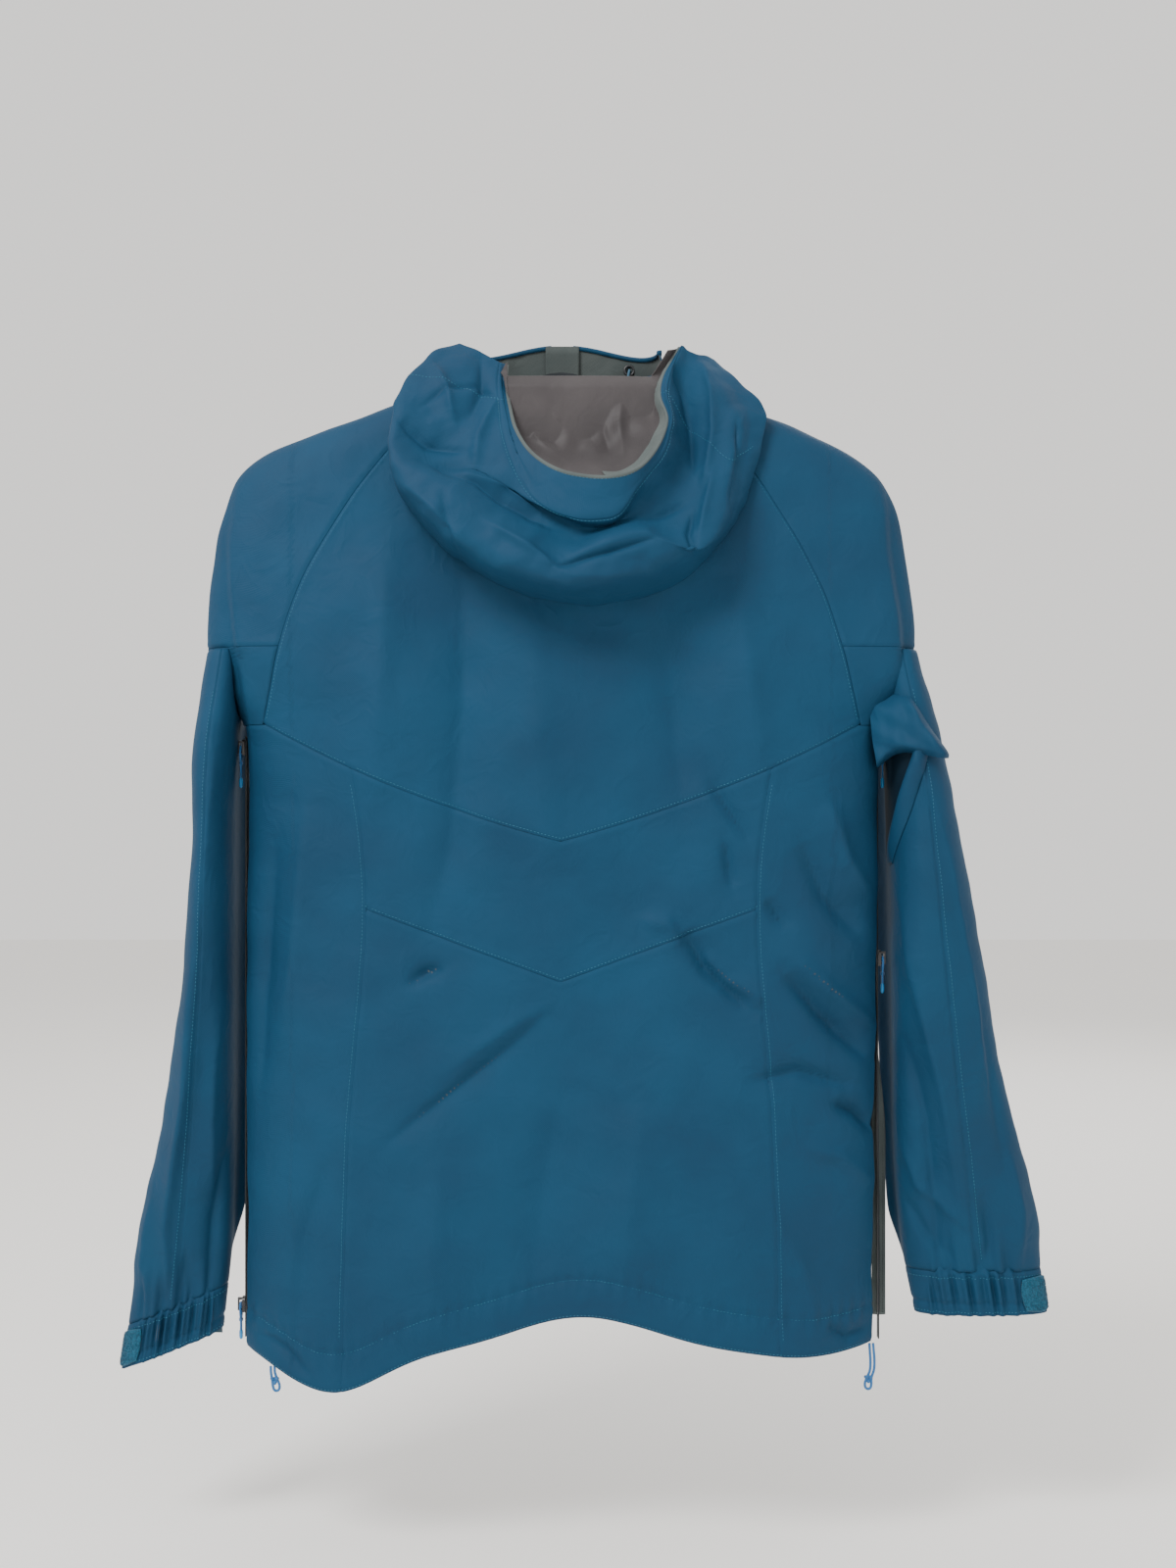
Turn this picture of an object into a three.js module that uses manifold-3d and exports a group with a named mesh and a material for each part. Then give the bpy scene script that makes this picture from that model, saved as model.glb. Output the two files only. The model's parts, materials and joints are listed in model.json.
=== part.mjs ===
// A hooded hardshell jacket, hung up by its neck, as separate sewn panels, zips, cords and fittings.
// Millimetres. +Z is up, +X is the wearer's right, the back of the jacket faces -Y and its front faces +Y.
// The origin is the middle of the neck opening, level with the shoulders, where a hanger carries it.
import * as THREE from "three";
import { mergeVertices } from "three/addons/utils/BufferGeometryUtils.js";
import Module from "manifold-3d";

const wasm = await Module();
wasm.setup();

// ---- Driving dimensions ----
const CHEST_HALF = 240; // half the width of the body, laid between its side zips
const HEM_Z = -706; // the hem at the back, from the neck
const FRONT_HEM_Z = -692; // the front is a little shorter
const ARMPIT_Z = -244; // the lower end of the raglan seams
const SLEEVE_SEAM_Z = -186; // the seam across the top of the sleeve
const CLOTH = 2; // the sewn and taped cloth
const LINING = 1.2; // the collar's and the storm flap's cloth
const SEAM = 0.3; // between two pieces that are sewn edge to edge
const NECK_SEAM = 0.7; // the shoulder stops a little short of the collar, where both turn sharply
const RUN = 0.4; // running clearance of a zip slider
const BACK_DEPTH = 54; // how far the back stands off the side line at the chest
const FRONT_TOP_Y = 43; // the front edge's place at neck level; the front edge is one straight line
const FRONT_SLOPE = -0.021; // how far it comes forward for each millimetre up
const NECK_BACK_Z = 12;
const NECK_SIDE_Z = 25;
const NECK_FRONT_Z = -34;
const COLLAR_TOP_Z = 34;
const TAPE_WIDTH = 8; // one half of a zip's tape
const TAPE = 1; // its thickness
const TOOTH_WIDTH = 2.4;
const TOOTH_HEIGHT = 2.2;
const ZIP_TOP_Z = -252; // the side zips' upper end
const ZIP_SPLIT_Z = -420; // the right side zip stands open below this
const ZIP_FLARE = 3; // how far its front edge swings out at the hem
const ZIP_SPREAD = 6; // how far each edge draws back from the other at the hem
const SLIDER_LENGTH = 12;
const SLIDER_WIDTH = 8.4;
const SLIDER_PLATE = 1.8;
const CORD = 2; // the elastic cord's diameter
const CUFF_HEIGHT = 34;
const TAB_LENGTH = 62;
const TAB_WIDTH = 22;
const TAB = 1.6;
const TAB_ROOT = 0.5; // the share of the tab's length that lies inboard of the cuff's middle
const PATCH = 1.2; // the loop pile's thickness
const LOCK_RADIUS = 4.2; // a cord lock's barrel
const LOCK_LENGTH = 13;
const PLUNGER_TRAVEL = 2.5;

// ---- Colours ----
const TEAL = new THREE.MeshStandardMaterial({ color: 0x1f5672, roughness: 0.75, metalness: 0 });
const GREY = new THREE.MeshStandardMaterial({ color: 0x6b706f, roughness: 0.85, metalness: 0 });
const TAUPE = new THREE.MeshStandardMaterial({ color: 0x5d595c, roughness: 0.7, metalness: 0 });
const BLUE = new THREE.MeshStandardMaterial({ color: 0x1b7fc4, roughness: 0.6, metalness: 0 });
const BLACK = new THREE.MeshStandardMaterial({ color: 0x17191c, roughness: 0.5, metalness: 0 });
const LOOP_PILE = new THREE.MeshStandardMaterial({ color: 0x21688a, roughness: 1, metalness: 0 });

const jacket = new THREE.Group();

function add(name, geometry, material) {
  const mesh = new THREE.Mesh(geometry, material);
  mesh.name = name;
  jacket.add(mesh);
  return mesh;
}

// ---- Small maths ----
const mix = (a, b, t) => a + (b - a) * t;
const smooth = (t) => {
  const c = Math.min(1, Math.max(0, t));
  return c * c * (3 - 2 * c);
};
const bump = (x, centre, width) => Math.exp(-(((x - centre) / width) ** 2));

// A smooth curve through stations [place, value] in rising order of place.
function through(stations) {
  const last = stations.length - 1;
  const slope = (i) => {
    const a = stations[Math.max(0, i - 1)];
    const b = stations[Math.min(last, i + 1)];
    return (b[1] - a[1]) / (b[0] - a[0]);
  };
  return (x) => {
    if (x <= stations[0][0]) return stations[0][1];
    if (x >= stations[last][0]) return stations[last][1];
    const i = stations.findIndex((s) => s[0] > x) - 1;
    const [x0, y0] = stations[i];
    const [x1, y1] = stations[i + 1];
    const h = x1 - x0;
    const t = (x - x0) / h;
    return (
      y0 * (1 + 2 * t) * (1 - t) ** 2 +
      y1 * t * t * (3 - 2 * t) +
      h * slope(i) * t * (1 - t) ** 2 -
      h * slope(i + 1) * t * t * (1 - t)
    );
  };
}

// ---- Solids from points ----
// A closed mesh from its points and quads, turned so that its faces point out.
function solidFrom(points, quads) {
  const position = new Float32Array(points.flatMap((p) => [p.x, p.y, p.z]));
  const index = quads.flatMap(([a, b, c, d]) => [a, b, c, a, c, d]);
  let volume = 0;
  for (let i = 0; i < index.length; i += 3) {
    const [a, b, c] = [points[index[i]], points[index[i + 1]], points[index[i + 2]]];
    volume += a.dot(new THREE.Vector3().crossVectors(b, c));
  }
  if (volume < 0) {
    for (let i = 0; i < index.length; i += 3) [index[i], index[i + 1]] = [index[i + 1], index[i]];
  }
  const geometry = new THREE.BufferGeometry();
  geometry.setAttribute("position", new THREE.BufferAttribute(position, 3));
  geometry.setIndex(index);
  return geometry;
}

// A sheet with an outer and an inner face, each a surface over u and v from 0 to 1.
function shell(outerFace, innerFace, across, along) {
  const outer = [];
  const inner = [];
  for (let j = 0; j <= along; j++) {
    for (let i = 0; i <= across; i++) {
      outer.push(outerFace(i / across, j / along));
      inner.push(innerFace(i / across, j / along));
    }
  }
  const row = across + 1;
  const offset = outer.length;
  const quads = [];
  for (let j = 0; j < along; j++) {
    for (let i = 0; i < across; i++) {
      const a = j * row + i;
      quads.push([a, a + 1, a + row + 1, a + row]);
      quads.push([offset + a, offset + a + row, offset + a + row + 1, offset + a + 1]);
    }
  }
  const rim = [];
  for (let i = 0; i < across; i++) rim.push(i);
  for (let j = 0; j < along; j++) rim.push(j * row + across);
  for (let i = across; i > 0; i--) rim.push(along * row + i);
  for (let j = along; j > 0; j--) rim.push(j * row);
  rim.forEach((a, k) => {
    const b = rim[(k + 1) % rim.length];
    quads.push([b, a, offset + a, offset + b]);
  });
  return solidFrom([...outer, ...inner], quads);
}

// A cloth panel: surface(u, v) gives its outer face, lifted by lift, and its inner face lies one
// thickness further in, away from outside(point), which points outwards.
function panel(surface, across, along, outside, thickness = CLOTH, lift = 0) {
  const step = 1e-3;
  const moved = (u, v, distance) => {
    const p = surface(u, v);
    const du = surface(Math.min(1, u + step), v).sub(surface(Math.max(0, u - step), v));
    const dv = surface(u, Math.min(1, v + step)).sub(surface(u, Math.max(0, v - step)));
    const normal = du.cross(dv).normalize();
    if (normal.dot(outside(p)) < 0) normal.negate();
    return p.addScaledVector(normal, distance);
  };
  return shell(
    (u, v) => moved(u, v, lift),
    (u, v) => moved(u, v, lift - thickness),
    across,
    along,
  );
}

// A solid through closed rings of points that all have the same convex or ell-shaped outline.
function loft(rings) {
  const n = rings[0].length;
  const points = rings.flat();
  const quads = [];
  for (let r = 0; r + 1 < rings.length; r++) {
    for (let i = 0; i < n; i++) {
      const j = (i + 1) % n;
      quads.push([r * n + i, r * n + j, (r + 1) * n + j, (r + 1) * n + i]);
    }
  }
  const geometry = solidFrom(points, quads);
  const index = Array.from(geometry.getIndex().array);
  const flipped = index[0] !== quads[0][0] || index[1] !== quads[0][1];
  const firstRing = rings[0];
  const axisU = firstRing[1].clone().sub(firstRing[0]).normalize();
  const centre = firstRing.reduce((s, p) => s.add(p), new THREE.Vector3()).divideScalar(n);
  const normal = new THREE.Vector3();
  firstRing.forEach((p, i) => {
    const q = firstRing[(i + 1) % n];
    normal.add(p.clone().sub(centre).cross(q.clone().sub(centre)));
  });
  const axisV = new THREE.Vector3().crossVectors(normal.normalize(), axisU);
  const flat = firstRing.map((p) => new THREE.Vector2(p.dot(axisU), p.dot(axisV)));
  const caps = THREE.ShapeUtils.triangulateShape(flat, []);
  const end = (rings.length - 1) * n;
  for (const [a, b, c] of caps) {
    index.push(...(flipped ? [a, b, c] : [b, a, c]));
    index.push(...(flipped ? [end + b, end + a, end + c] : [end + a, end + b, end + c]));
  }
  geometry.setIndex(index);
  return geometry;
}

// A closed hoop: section(angle) gives the same number of points round its wall at every angle.
function hoop(section, sides) {
  const rows = Array.from({ length: sides }, (_, k) => section((2 * Math.PI * k) / sides));
  const n = rows[0].length;
  const quads = [];
  for (let k = 0; k < sides; k++) {
    const next = (k + 1) % sides;
    for (let i = 0; i < n; i++) {
      const j = (i + 1) % n;
      quads.push([k * n + i, k * n + j, next * n + j, next * n + i]);
    }
  }
  return solidFrom(rows.flat(), quads);
}

// ---- Joining and cutting ----
function toManifold(geometry) {
  const bare = geometry.clone();
  bare.deleteAttribute("normal");
  bare.deleteAttribute("uv");
  const merged = mergeVertices(bare, 1e-4);
  return new wasm.Manifold(
    new wasm.Mesh({
      numProp: 3,
      vertProperties: new Float32Array(merged.attributes.position.array),
      triVerts: new Uint32Array(merged.index.array),
    }),
  );
}

function toGeometry(solid) {
  const mesh = solid.getMesh();
  const geometry = new THREE.BufferGeometry();
  const position = new Float32Array(mesh.numVert * 3);
  for (let i = 0; i < mesh.numVert; i++) {
    position.set(mesh.vertProperties.subarray(i * mesh.numProp, i * mesh.numProp + 3), i * 3);
  }
  geometry.setAttribute("position", new THREE.BufferAttribute(position, 3));
  geometry.setIndex(Array.from(mesh.triVerts));
  return geometry;
}

const join = (...parts) => toGeometry(parts.map(toManifold).reduce((a, b) => a.add(b)));
const block = (sx, sy, sz, x, y, z) => new THREE.BoxGeometry(sx, sy, sz).translate(x, y, z);

// ---- The body's surface ----
// phi goes round the body: 0 at the middle of the back, 90 degrees at the right side, 180 at the front.
const halfWidth = through([
  [HEM_Z - 40, CHEST_HALF],
  [-420, CHEST_HALF],
  [-300, CHEST_HALF],
  [ARMPIT_Z, CHEST_HALF + 2],
  [-215, CHEST_HALF + 18],
  [SLEEVE_SEAM_Z, CHEST_HALF + 28],
  [-115, CHEST_HALF + 21],
  [-63, CHEST_HALF + 5],
  [-40, CHEST_HALF - 18],
  [-20, 182],
  [-5, 145],
  [8, 112],
  [NECK_SIDE_Z, 82],
  [COLLAR_TOP_Z + 14, 74],
]);
const backDepth = through([
  [HEM_Z - 40, 54],
  [-430, 49],
  [-250, BACK_DEPTH],
  [-110, 46],
  [-30, 37],
  [NECK_BACK_Z, 32],
  [COLLAR_TOP_Z + 14, 30],
]);
const frontDepth = (z) => FRONT_TOP_Y + FRONT_SLOPE * z;
const opened = (z) => smooth((ZIP_SPLIT_Z - z) / (ZIP_SPLIT_Z - FRONT_HEM_Z));

function body(phi, z, flare = 0) {
  const s = Math.sin(phi);
  const c = Math.cos(phi);
  const depth = c > 0 ? backDepth(z) : frontDepth(z);
  return new THREE.Vector3((halfWidth(z) + flare) * s, -depth * c * Math.sqrt(1 + s * s), z);
}

const bodyOutside = (p) => new THREE.Vector3(p.x, p.y * 12, 0);

// Where the body's surface crosses a given x, on the back or on the front.
const backPhi = (x, z) => Math.asin(Math.max(-1, Math.min(1, x / halfWidth(z))));
const frontPhi = (x, z) => Math.PI - backPhi(x, z);

// ---- Seam lines ----
const raglanX = through([
  [ARMPIT_Z, CHEST_HALF - 17],
  [-150, 197],
  [-70, 153],
  [-20, 112],
  [NECK_SIDE_Z, 60],
]);
const princessX = through([
  [HEM_Z - 40, 163],
  [-540, 156],
  [-400, 145],
  [-330, 147],
  [ARMPIT_Z, 160],
]);
const yokeZ = (x) => -330 + 0.25 * Math.abs(x) + 0.00063 * x * x;
const lowerSeamZ = (x) => -434 + 0.37 * Math.abs(x);
const hemZ = (x) => HEM_Z + 26 * bump(x, 18, 72) - 31 * bump(x, -170, 52) - 6 * bump(x, 180, 45);
const neckZ = (phi) => {
  const c = Math.cos(phi);
  return mix(NECK_SIDE_Z, c > 0 ? NECK_BACK_Z : NECK_FRONT_Z, c * c);
};
// The angle, from the body's side line, at which a panel ends beside a side zip.
const zipEdge = (z, isOpen, depth) => {
  const gap = TAPE_WIDTH + SEAM * 2 + (isOpen ? ZIP_SPREAD * opened(z) : 0);
  return Math.asin(gap / (depth(z) * Math.SQRT2));
};

// A panel between a left and a right edge x(z), and a bottom and a top edge z(x). Two rounds of
// substitution settle a point where the edges depend on each other.
function backPanel(left, right, bottom, top) {
  return (u, v) => {
    let x = 0;
    let z = mix(bottom(0), top(0), v);
    for (let round = 0; round < 6; round++) {
      x = mix(left(z), right(z), u);
      z = mix(bottom(x), top(x), v);
    }
    return body(backPhi(x, z), z);
  };
}

const half = SEAM / 2;
const PANEL_ROW = 34; // the tallest row of facets in a panel whose side edges curve
add(
  "back_yoke",
  panel(
    backPanel(
      (z) => -raglanX(z) + half,
      (z) => raglanX(z) - half,
      (x) => yokeZ(x) + half,
      (x) => neckZ(backPhi(x, 15)),
    ),
    14,
    12,
    bodyOutside,
  ),
  TEAL,
);
add(
  "back_middle_panel",
  panel(
    backPanel(
      (z) => -princessX(z) + half,
      (z) => princessX(z) - half,
      (x) => lowerSeamZ(x) + half,
      (x) => yokeZ(x) - half,
    ),
    10,
    4,
    bodyOutside,
  ),
  TEAL,
);
add(
  "back_lower_panel",
  panel(
    backPanel(
      (z) => -princessX(z) + half,
      (z) => princessX(z) - half,
      (x) => hemZ(x),
      (x) => lowerSeamZ(x) - half,
    ),
    12,
    Math.ceil((lowerSeamZ(0) - HEM_Z) / PANEL_ROW),
    bodyOutside,
  ),
  TEAL,
);

// A side panel runs from the princess seam to the side zip, so its outer edge is an angle.
function backSide(side) {
  const isOpen = side > 0;
  const inner = (z) => backPhi(princessX(z) + half, z);
  const outer = (z) => Math.PI / 2 - zipEdge(z, isOpen, backDepth);
  return (u, v) => {
    let phi = inner(-500);
    let z = 0;
    for (let round = 0; round < 6; round++) {
      const x = halfWidth(z) * Math.sin(phi);
      z = mix(hemZ(side * x), Math.min(yokeZ(x) - half, ARMPIT_Z - SEAM), v);
      phi = mix(inner(z), outer(z), u);
    }
    return body(side * phi, z);
  };
}

// Below the armpit the front panel reaches the side zip; above it the panel ends at the raglan seam.
function frontLower(side) {
  const isOpen = side > 0;
  const inner = (z) => frontPhi(TAPE_WIDTH + SEAM * 2, z);
  return (u, v) => {
    const z = mix(FRONT_HEM_Z, ARMPIT_Z - SEAM, v);
    const phi = mix(Math.PI / 2 + zipEdge(z, isOpen, frontDepth), inner(z), u);
    return body(side * phi, z, isOpen ? ZIP_FLARE * opened(z) : 0);
  };
}

function frontUpper(side) {
  return (u, v) => {
    let z = 0;
    let phi = Math.PI;
    for (let round = 0; round < 8; round++) {
      phi = mix(frontPhi(raglanX(z) - SEAM, z), frontPhi(TAPE_WIDTH + SEAM * 2, z), u);
      z = mix(ARMPIT_Z, neckZ(phi) - SEAM, v);
    }
    return body(side * phi, z);
  };
}

// The raglan shoulder lies between the back and the front raglan seams, over the top of the arm.
function shoulder(side) {
  return (u, v) => {
    let z = 0;
    let phi = Math.PI / 2;
    for (let round = 0; round < 8; round++) {
      const from = backPhi(raglanX(z) + half, z);
      const to = frontPhi(raglanX(z) + half, z);
      phi = mix(from, to, u);
      z = mix(SLEEVE_SEAM_Z + half, neckZ(phi) - NECK_SEAM, v);
    }
    return body(side * phi, z);
  };
}

// The gusset joins the body to the sleeve under the arm, between the same two seams, and the armhole
// is cut through it.
const ARMHOLE_WIDTH = 48;
const ARMHOLE_HEIGHT = 38;
const ARMHOLE_Y = -2;
const ARMHOLE_Z = (ARMPIT_Z + SLEEVE_SEAM_Z) / 2;
function gusset(side) {
  return (u, v) => {
    const z = mix(ARMPIT_Z, SLEEVE_SEAM_Z - half, v);
    const phi = mix(backPhi(raglanX(z) + half, z), frontPhi(raglanX(z) + half, z), u);
    return body(side * phi, z);
  };
}

for (const [name, side] of [
  ["left", -1],
  ["right", 1],
]) {
  const sideRows = Math.ceil((ARMPIT_Z - HEM_Z) / (PANEL_ROW * 1.6));
  add(`back_side_panel_${name}`, panel(backSide(side), 6, sideRows, bodyOutside), TEAL);
  add(`front_panel_${name}`, panel(frontLower(side), 12, 8, bodyOutside), TEAL);
  add(`chest_panel_${name}`, panel(frontUpper(side), 9, 9, bodyOutside), TEAL);
  add(`shoulder_panel_${name}`, panel(shoulder(side), 14, 14, bodyOutside), TEAL);
  const closed = panel(gusset(side), 8, 4, bodyOutside);
  const armhole = block(120, ARMHOLE_WIDTH, ARMHOLE_HEIGHT, side * CHEST_HALF, ARMHOLE_Y, ARMHOLE_Z);
  add(`underarm_gusset_${name}`, toGeometry(toManifold(closed).subtract(toManifold(armhole))), TEAL);
}

// ---- Collar ----
const collarTopZ = (phi) => mix(COLLAR_TOP_Z + 8, COLLAR_TOP_Z, Math.cos(phi) ** 2);
const COLLAR_START = (84 * Math.PI) / 180;

function collar(side) {
  return (u, v) => {
    let z = 0;
    let phi = Math.PI;
    for (let round = 0; round < 6; round++) {
      phi = mix(COLLAR_START, frontPhi(TAPE_WIDTH + SEAM * 2, z), u);
      z = mix(neckZ(phi), collarTopZ(phi), v);
    }
    return body(side * phi, z);
  };
}

for (const [name, side] of [
  ["left", -1],
  ["right", 1],
]) {
  add(`collar_${name}`, panel(collar(side), 12, 4, bodyOutside), TEAL);
  add(
    `collar_lining_${name}`,
    panel(collar(side), 12, 4, bodyOutside, LINING, -CLOTH - SEAM),
    GREY,
  );
}

// ---- Hanging loop, inside the back neck ----
const HANG_LOOP_WIDTH = 70;
const HANG_LOOP_Y = -29.5;
const hangLoopShape = new THREE.Shape();
hangLoopShape.moveTo(-HANG_LOOP_WIDTH / 2, 0);
hangLoopShape.quadraticCurveTo(0, 30, HANG_LOOP_WIDTH / 2, 0);
hangLoopShape.lineTo(HANG_LOOP_WIDTH / 2 - 7, 0);
hangLoopShape.quadraticCurveTo(0, 23, -HANG_LOOP_WIDTH / 2 + 7, 0);
hangLoopShape.closePath();
const hangLoop = new THREE.ExtrudeGeometry(hangLoopShape, {
  depth: 1.4,
  bevelEnabled: false,
  curveSegments: 8,
});
hangLoop.rotateX(Math.PI / 2);
hangLoop.translate(0, HANG_LOOP_Y + 1.4, NECK_BACK_Z - 8);
add("hang_loop", hangLoop, TEAL);

// ---- Hood, folded down behind the neck ----
// The folded hood is a soft roll along a line that passes over both shoulders and behind the back.
// Each station has its centre, half its height along the roll's section, half its thickness and the
// section's lean: how far its top edge stands out from its bottom edge.
const HOOD_STATIONS = [
  { at: [-84, 26, 35], high: 10, thick: 7, lean: 0 },
  { at: [-101, -2, 33], high: 13, thick: 9, lean: 0.1 },
  { at: [-112, -30, 22], high: 16, thick: 11, lean: 0.25 },
  { at: [-110, -52, -6], high: 28, thick: 12, lean: 0.3 },
  { at: [-92, -70, -48], high: 38, thick: 13, lean: 0.3 },
  { at: [-54, -82, -92], high: 44, thick: 14, lean: 0.3 },
  { at: [-6, -86, -111], high: 46, thick: 14, lean: 0.3 },
  { at: [44, -86, -112], high: 47, thick: 14, lean: 0.3 },
  { at: [92, -76, -84], high: 46, thick: 14, lean: 0.3 },
  { at: [118, -60, -38], high: 38, thick: 13, lean: 0.3 },
  { at: [121, -44, -4], high: 26, thick: 12, lean: 0.3 },
  { at: [114, -22, 20], high: 15, thick: 11, lean: 0.2 },
  { at: [100, 2, 28], high: 12, thick: 9, lean: 0.1 },
  { at: [84, 26, 30], high: 10, thick: 7, lean: 0 },
];
const HOOD_SECTION_SIDES = 10;
const HOOD_RINGS = 34;
const HOOD_CUT_Y = -42; // the folded hood hinges here when it is lifted off the back
const HOOD_HINGE_Z = 52;

const hoodPath = new THREE.CatmullRomCurve3(
  HOOD_STATIONS.map((s) => new THREE.Vector3(...s.at)),
  false,
  "centripetal",
);
const hoodValue = (key) =>
  through(HOOD_STATIONS.map((s, i) => [i / (HOOD_STATIONS.length - 1), s[key]]));
const hoodHigh = hoodValue("high");
const hoodThick = hoodValue("thick");
const hoodLean = hoodValue("lean");

// The roll's section at t: its centre, the way up it and the way out of it.
function hoodSection(t) {
  const centre = hoodPath.getPoint(t);
  const tangent = hoodPath.getTangent(t);
  const outwards = new THREE.Vector3(tangent.y, -tangent.x, 0).normalize();
  if (outwards.dot(new THREE.Vector3(centre.x, centre.y, 0)) < 0) outwards.negate();
  const up = new THREE.Vector3(0, 0, 1).addScaledVector(outwards, hoodLean(t)).normalize();
  const out = outwards.addScaledVector(up, -outwards.dot(up)).normalize();
  return { centre, up, out };
}

function hoodRoll() {
  const rings = [];
  for (let r = 0; r <= HOOD_RINGS; r++) {
    const t = r / HOOD_RINGS;
    const { centre, up, out } = hoodSection(t);
    const ring = [];
    for (let k = 0; k < HOOD_SECTION_SIDES; k++) {
      const a = (2 * Math.PI * k) / HOOD_SECTION_SIDES;
      const p = centre.clone().addScaledVector(up, hoodHigh(t) * Math.sin(a));
      ring.push(p.addScaledVector(out, hoodThick(t) * Math.cos(a)));
    }
    rings.push(ring);
  }
  return loft(rings);
}

const roll = toManifold(hoodRoll());
const behindCut = toManifold(block(400, 200, 600, 0, HOOD_CUT_Y - 100, 0));
const beforeCut = toManifold(block(400, 200, 600, 0, HOOD_CUT_Y + SEAM + 100, 0));
add("hood_crown", toGeometry(roll.intersect(behindCut)), TEAL);
for (const piece of roll.intersect(beforeCut).decompose()) {
  const box = piece.boundingBox();
  add(`hood_side_${box.min[0] < 0 ? "left" : "right"}`, toGeometry(piece), TEAL);
}

// The lining of the folded hood: a sloping bowl from the back neck seam down to the crown's inner face.
const LINING_START = 0.3; // the shares of the hood's line between which the lining meets the crown
const LINING_END = 0.67;
const LINING_NECK_ANGLE = (50 * Math.PI) / 180;
function hoodLining(u, v) {
  const t = mix(LINING_START, LINING_END, u);
  const { centre, out } = hoodSection(t);
  const atCrown = centre.addScaledVector(out, -hoodThick(t) - 3 * SEAM);
  const phi = mix(-LINING_NECK_ANGLE, LINING_NECK_ANGLE, u);
  const edge = body(phi, neckZ(phi) - 2);
  const away = new THREE.Vector3(Math.sin(phi), -Math.cos(phi), 0);
  const atNeck = edge.addScaledVector(away, LINING + 3 * SEAM);
  return atCrown.lerp(atNeck, v);
}
add("hood_lining", panel(hoodLining, 10, 6, () => new THREE.Vector3(0, -1, 0), LINING), TAUPE);

// ---- Sleeves ----
// A sleeve is a flattened tube between an outer and an inner edge line. Its broad side faces sideways
// at the shoulder and turns to face front and back at the cuff. The left sleeve hangs straighter.
// The lines are measured outwards from the body's side line.
const SLEEVES = {
  right: {
    side: 1,
    cuffZ: -690,
    tilt: 0,
    outer: through([[-693, 131], [-641, 123], [-576, 113], [-504, 97], [-396, 75], [-310, 58], [-233, 42], [-190, 31.4], [-186, 30.5]]),
    inner: through([[-693, 30], [-641, 20], [-576, 14], [-450, 11], [-350, 9], [-262, 6], [-190, -2]]),
  },
  left: {
    side: -1,
    cuffZ: -718,
    tilt: 16,
    outer: through([[-737, 99], [-698, 93], [-648, 85], [-576, 71], [-504, 58], [-432, 46], [-346, 40], [-259, 37], [-190, 31.4], [-186, 30.5]]),
    inner: through([[-737, 21], [-706, 17], [-640, 11], [-576, 9], [-350, 8], [-262, 6], [-190, -2]]),
  },
};
const SLEEVE_TOP_OUTER_Z = SLEEVE_SEAM_Z - half - SEAM;
const SLEEVE_TOP_INNER_Z = ARMPIT_Z - 18;
const SLEEVE_Y = 8;
const sleeveDeep = through([[-740, 16], [-690, 17], [-640, 24], [-550, 36], [-450, 46], [-350, 52], [-260, 50], [-190, 38]]);

// A point of a sleeve: angle 0 faces away from the body. The cuff's outer end hangs lower by the tilt.
function sleevePoint(spec, angle, z, shrink = 0) {
  const c = Math.cos(angle);
  const s = Math.sin(angle);
  const wide = Math.sqrt(1 + 0.4 * c * c * s * s);
  const middle = (spec.outer(z) + spec.inner(z)) / 2;
  const across = (spec.outer(z) - spec.inner(z)) / 2 - shrink;
  const low = spec.tilt * c * smooth((-500 - z) / 200);
  return new THREE.Vector3(
    spec.side * (CHEST_HALF + middle + across * c * wide),
    SLEEVE_Y + (sleeveDeep(z) - shrink) * s * wide,
    z - low,
  );
}

const sleeveTopZ = (angle) => mix(SLEEVE_TOP_INNER_Z, SLEEVE_TOP_OUTER_Z, (1 + Math.cos(angle)) / 2);

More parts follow.
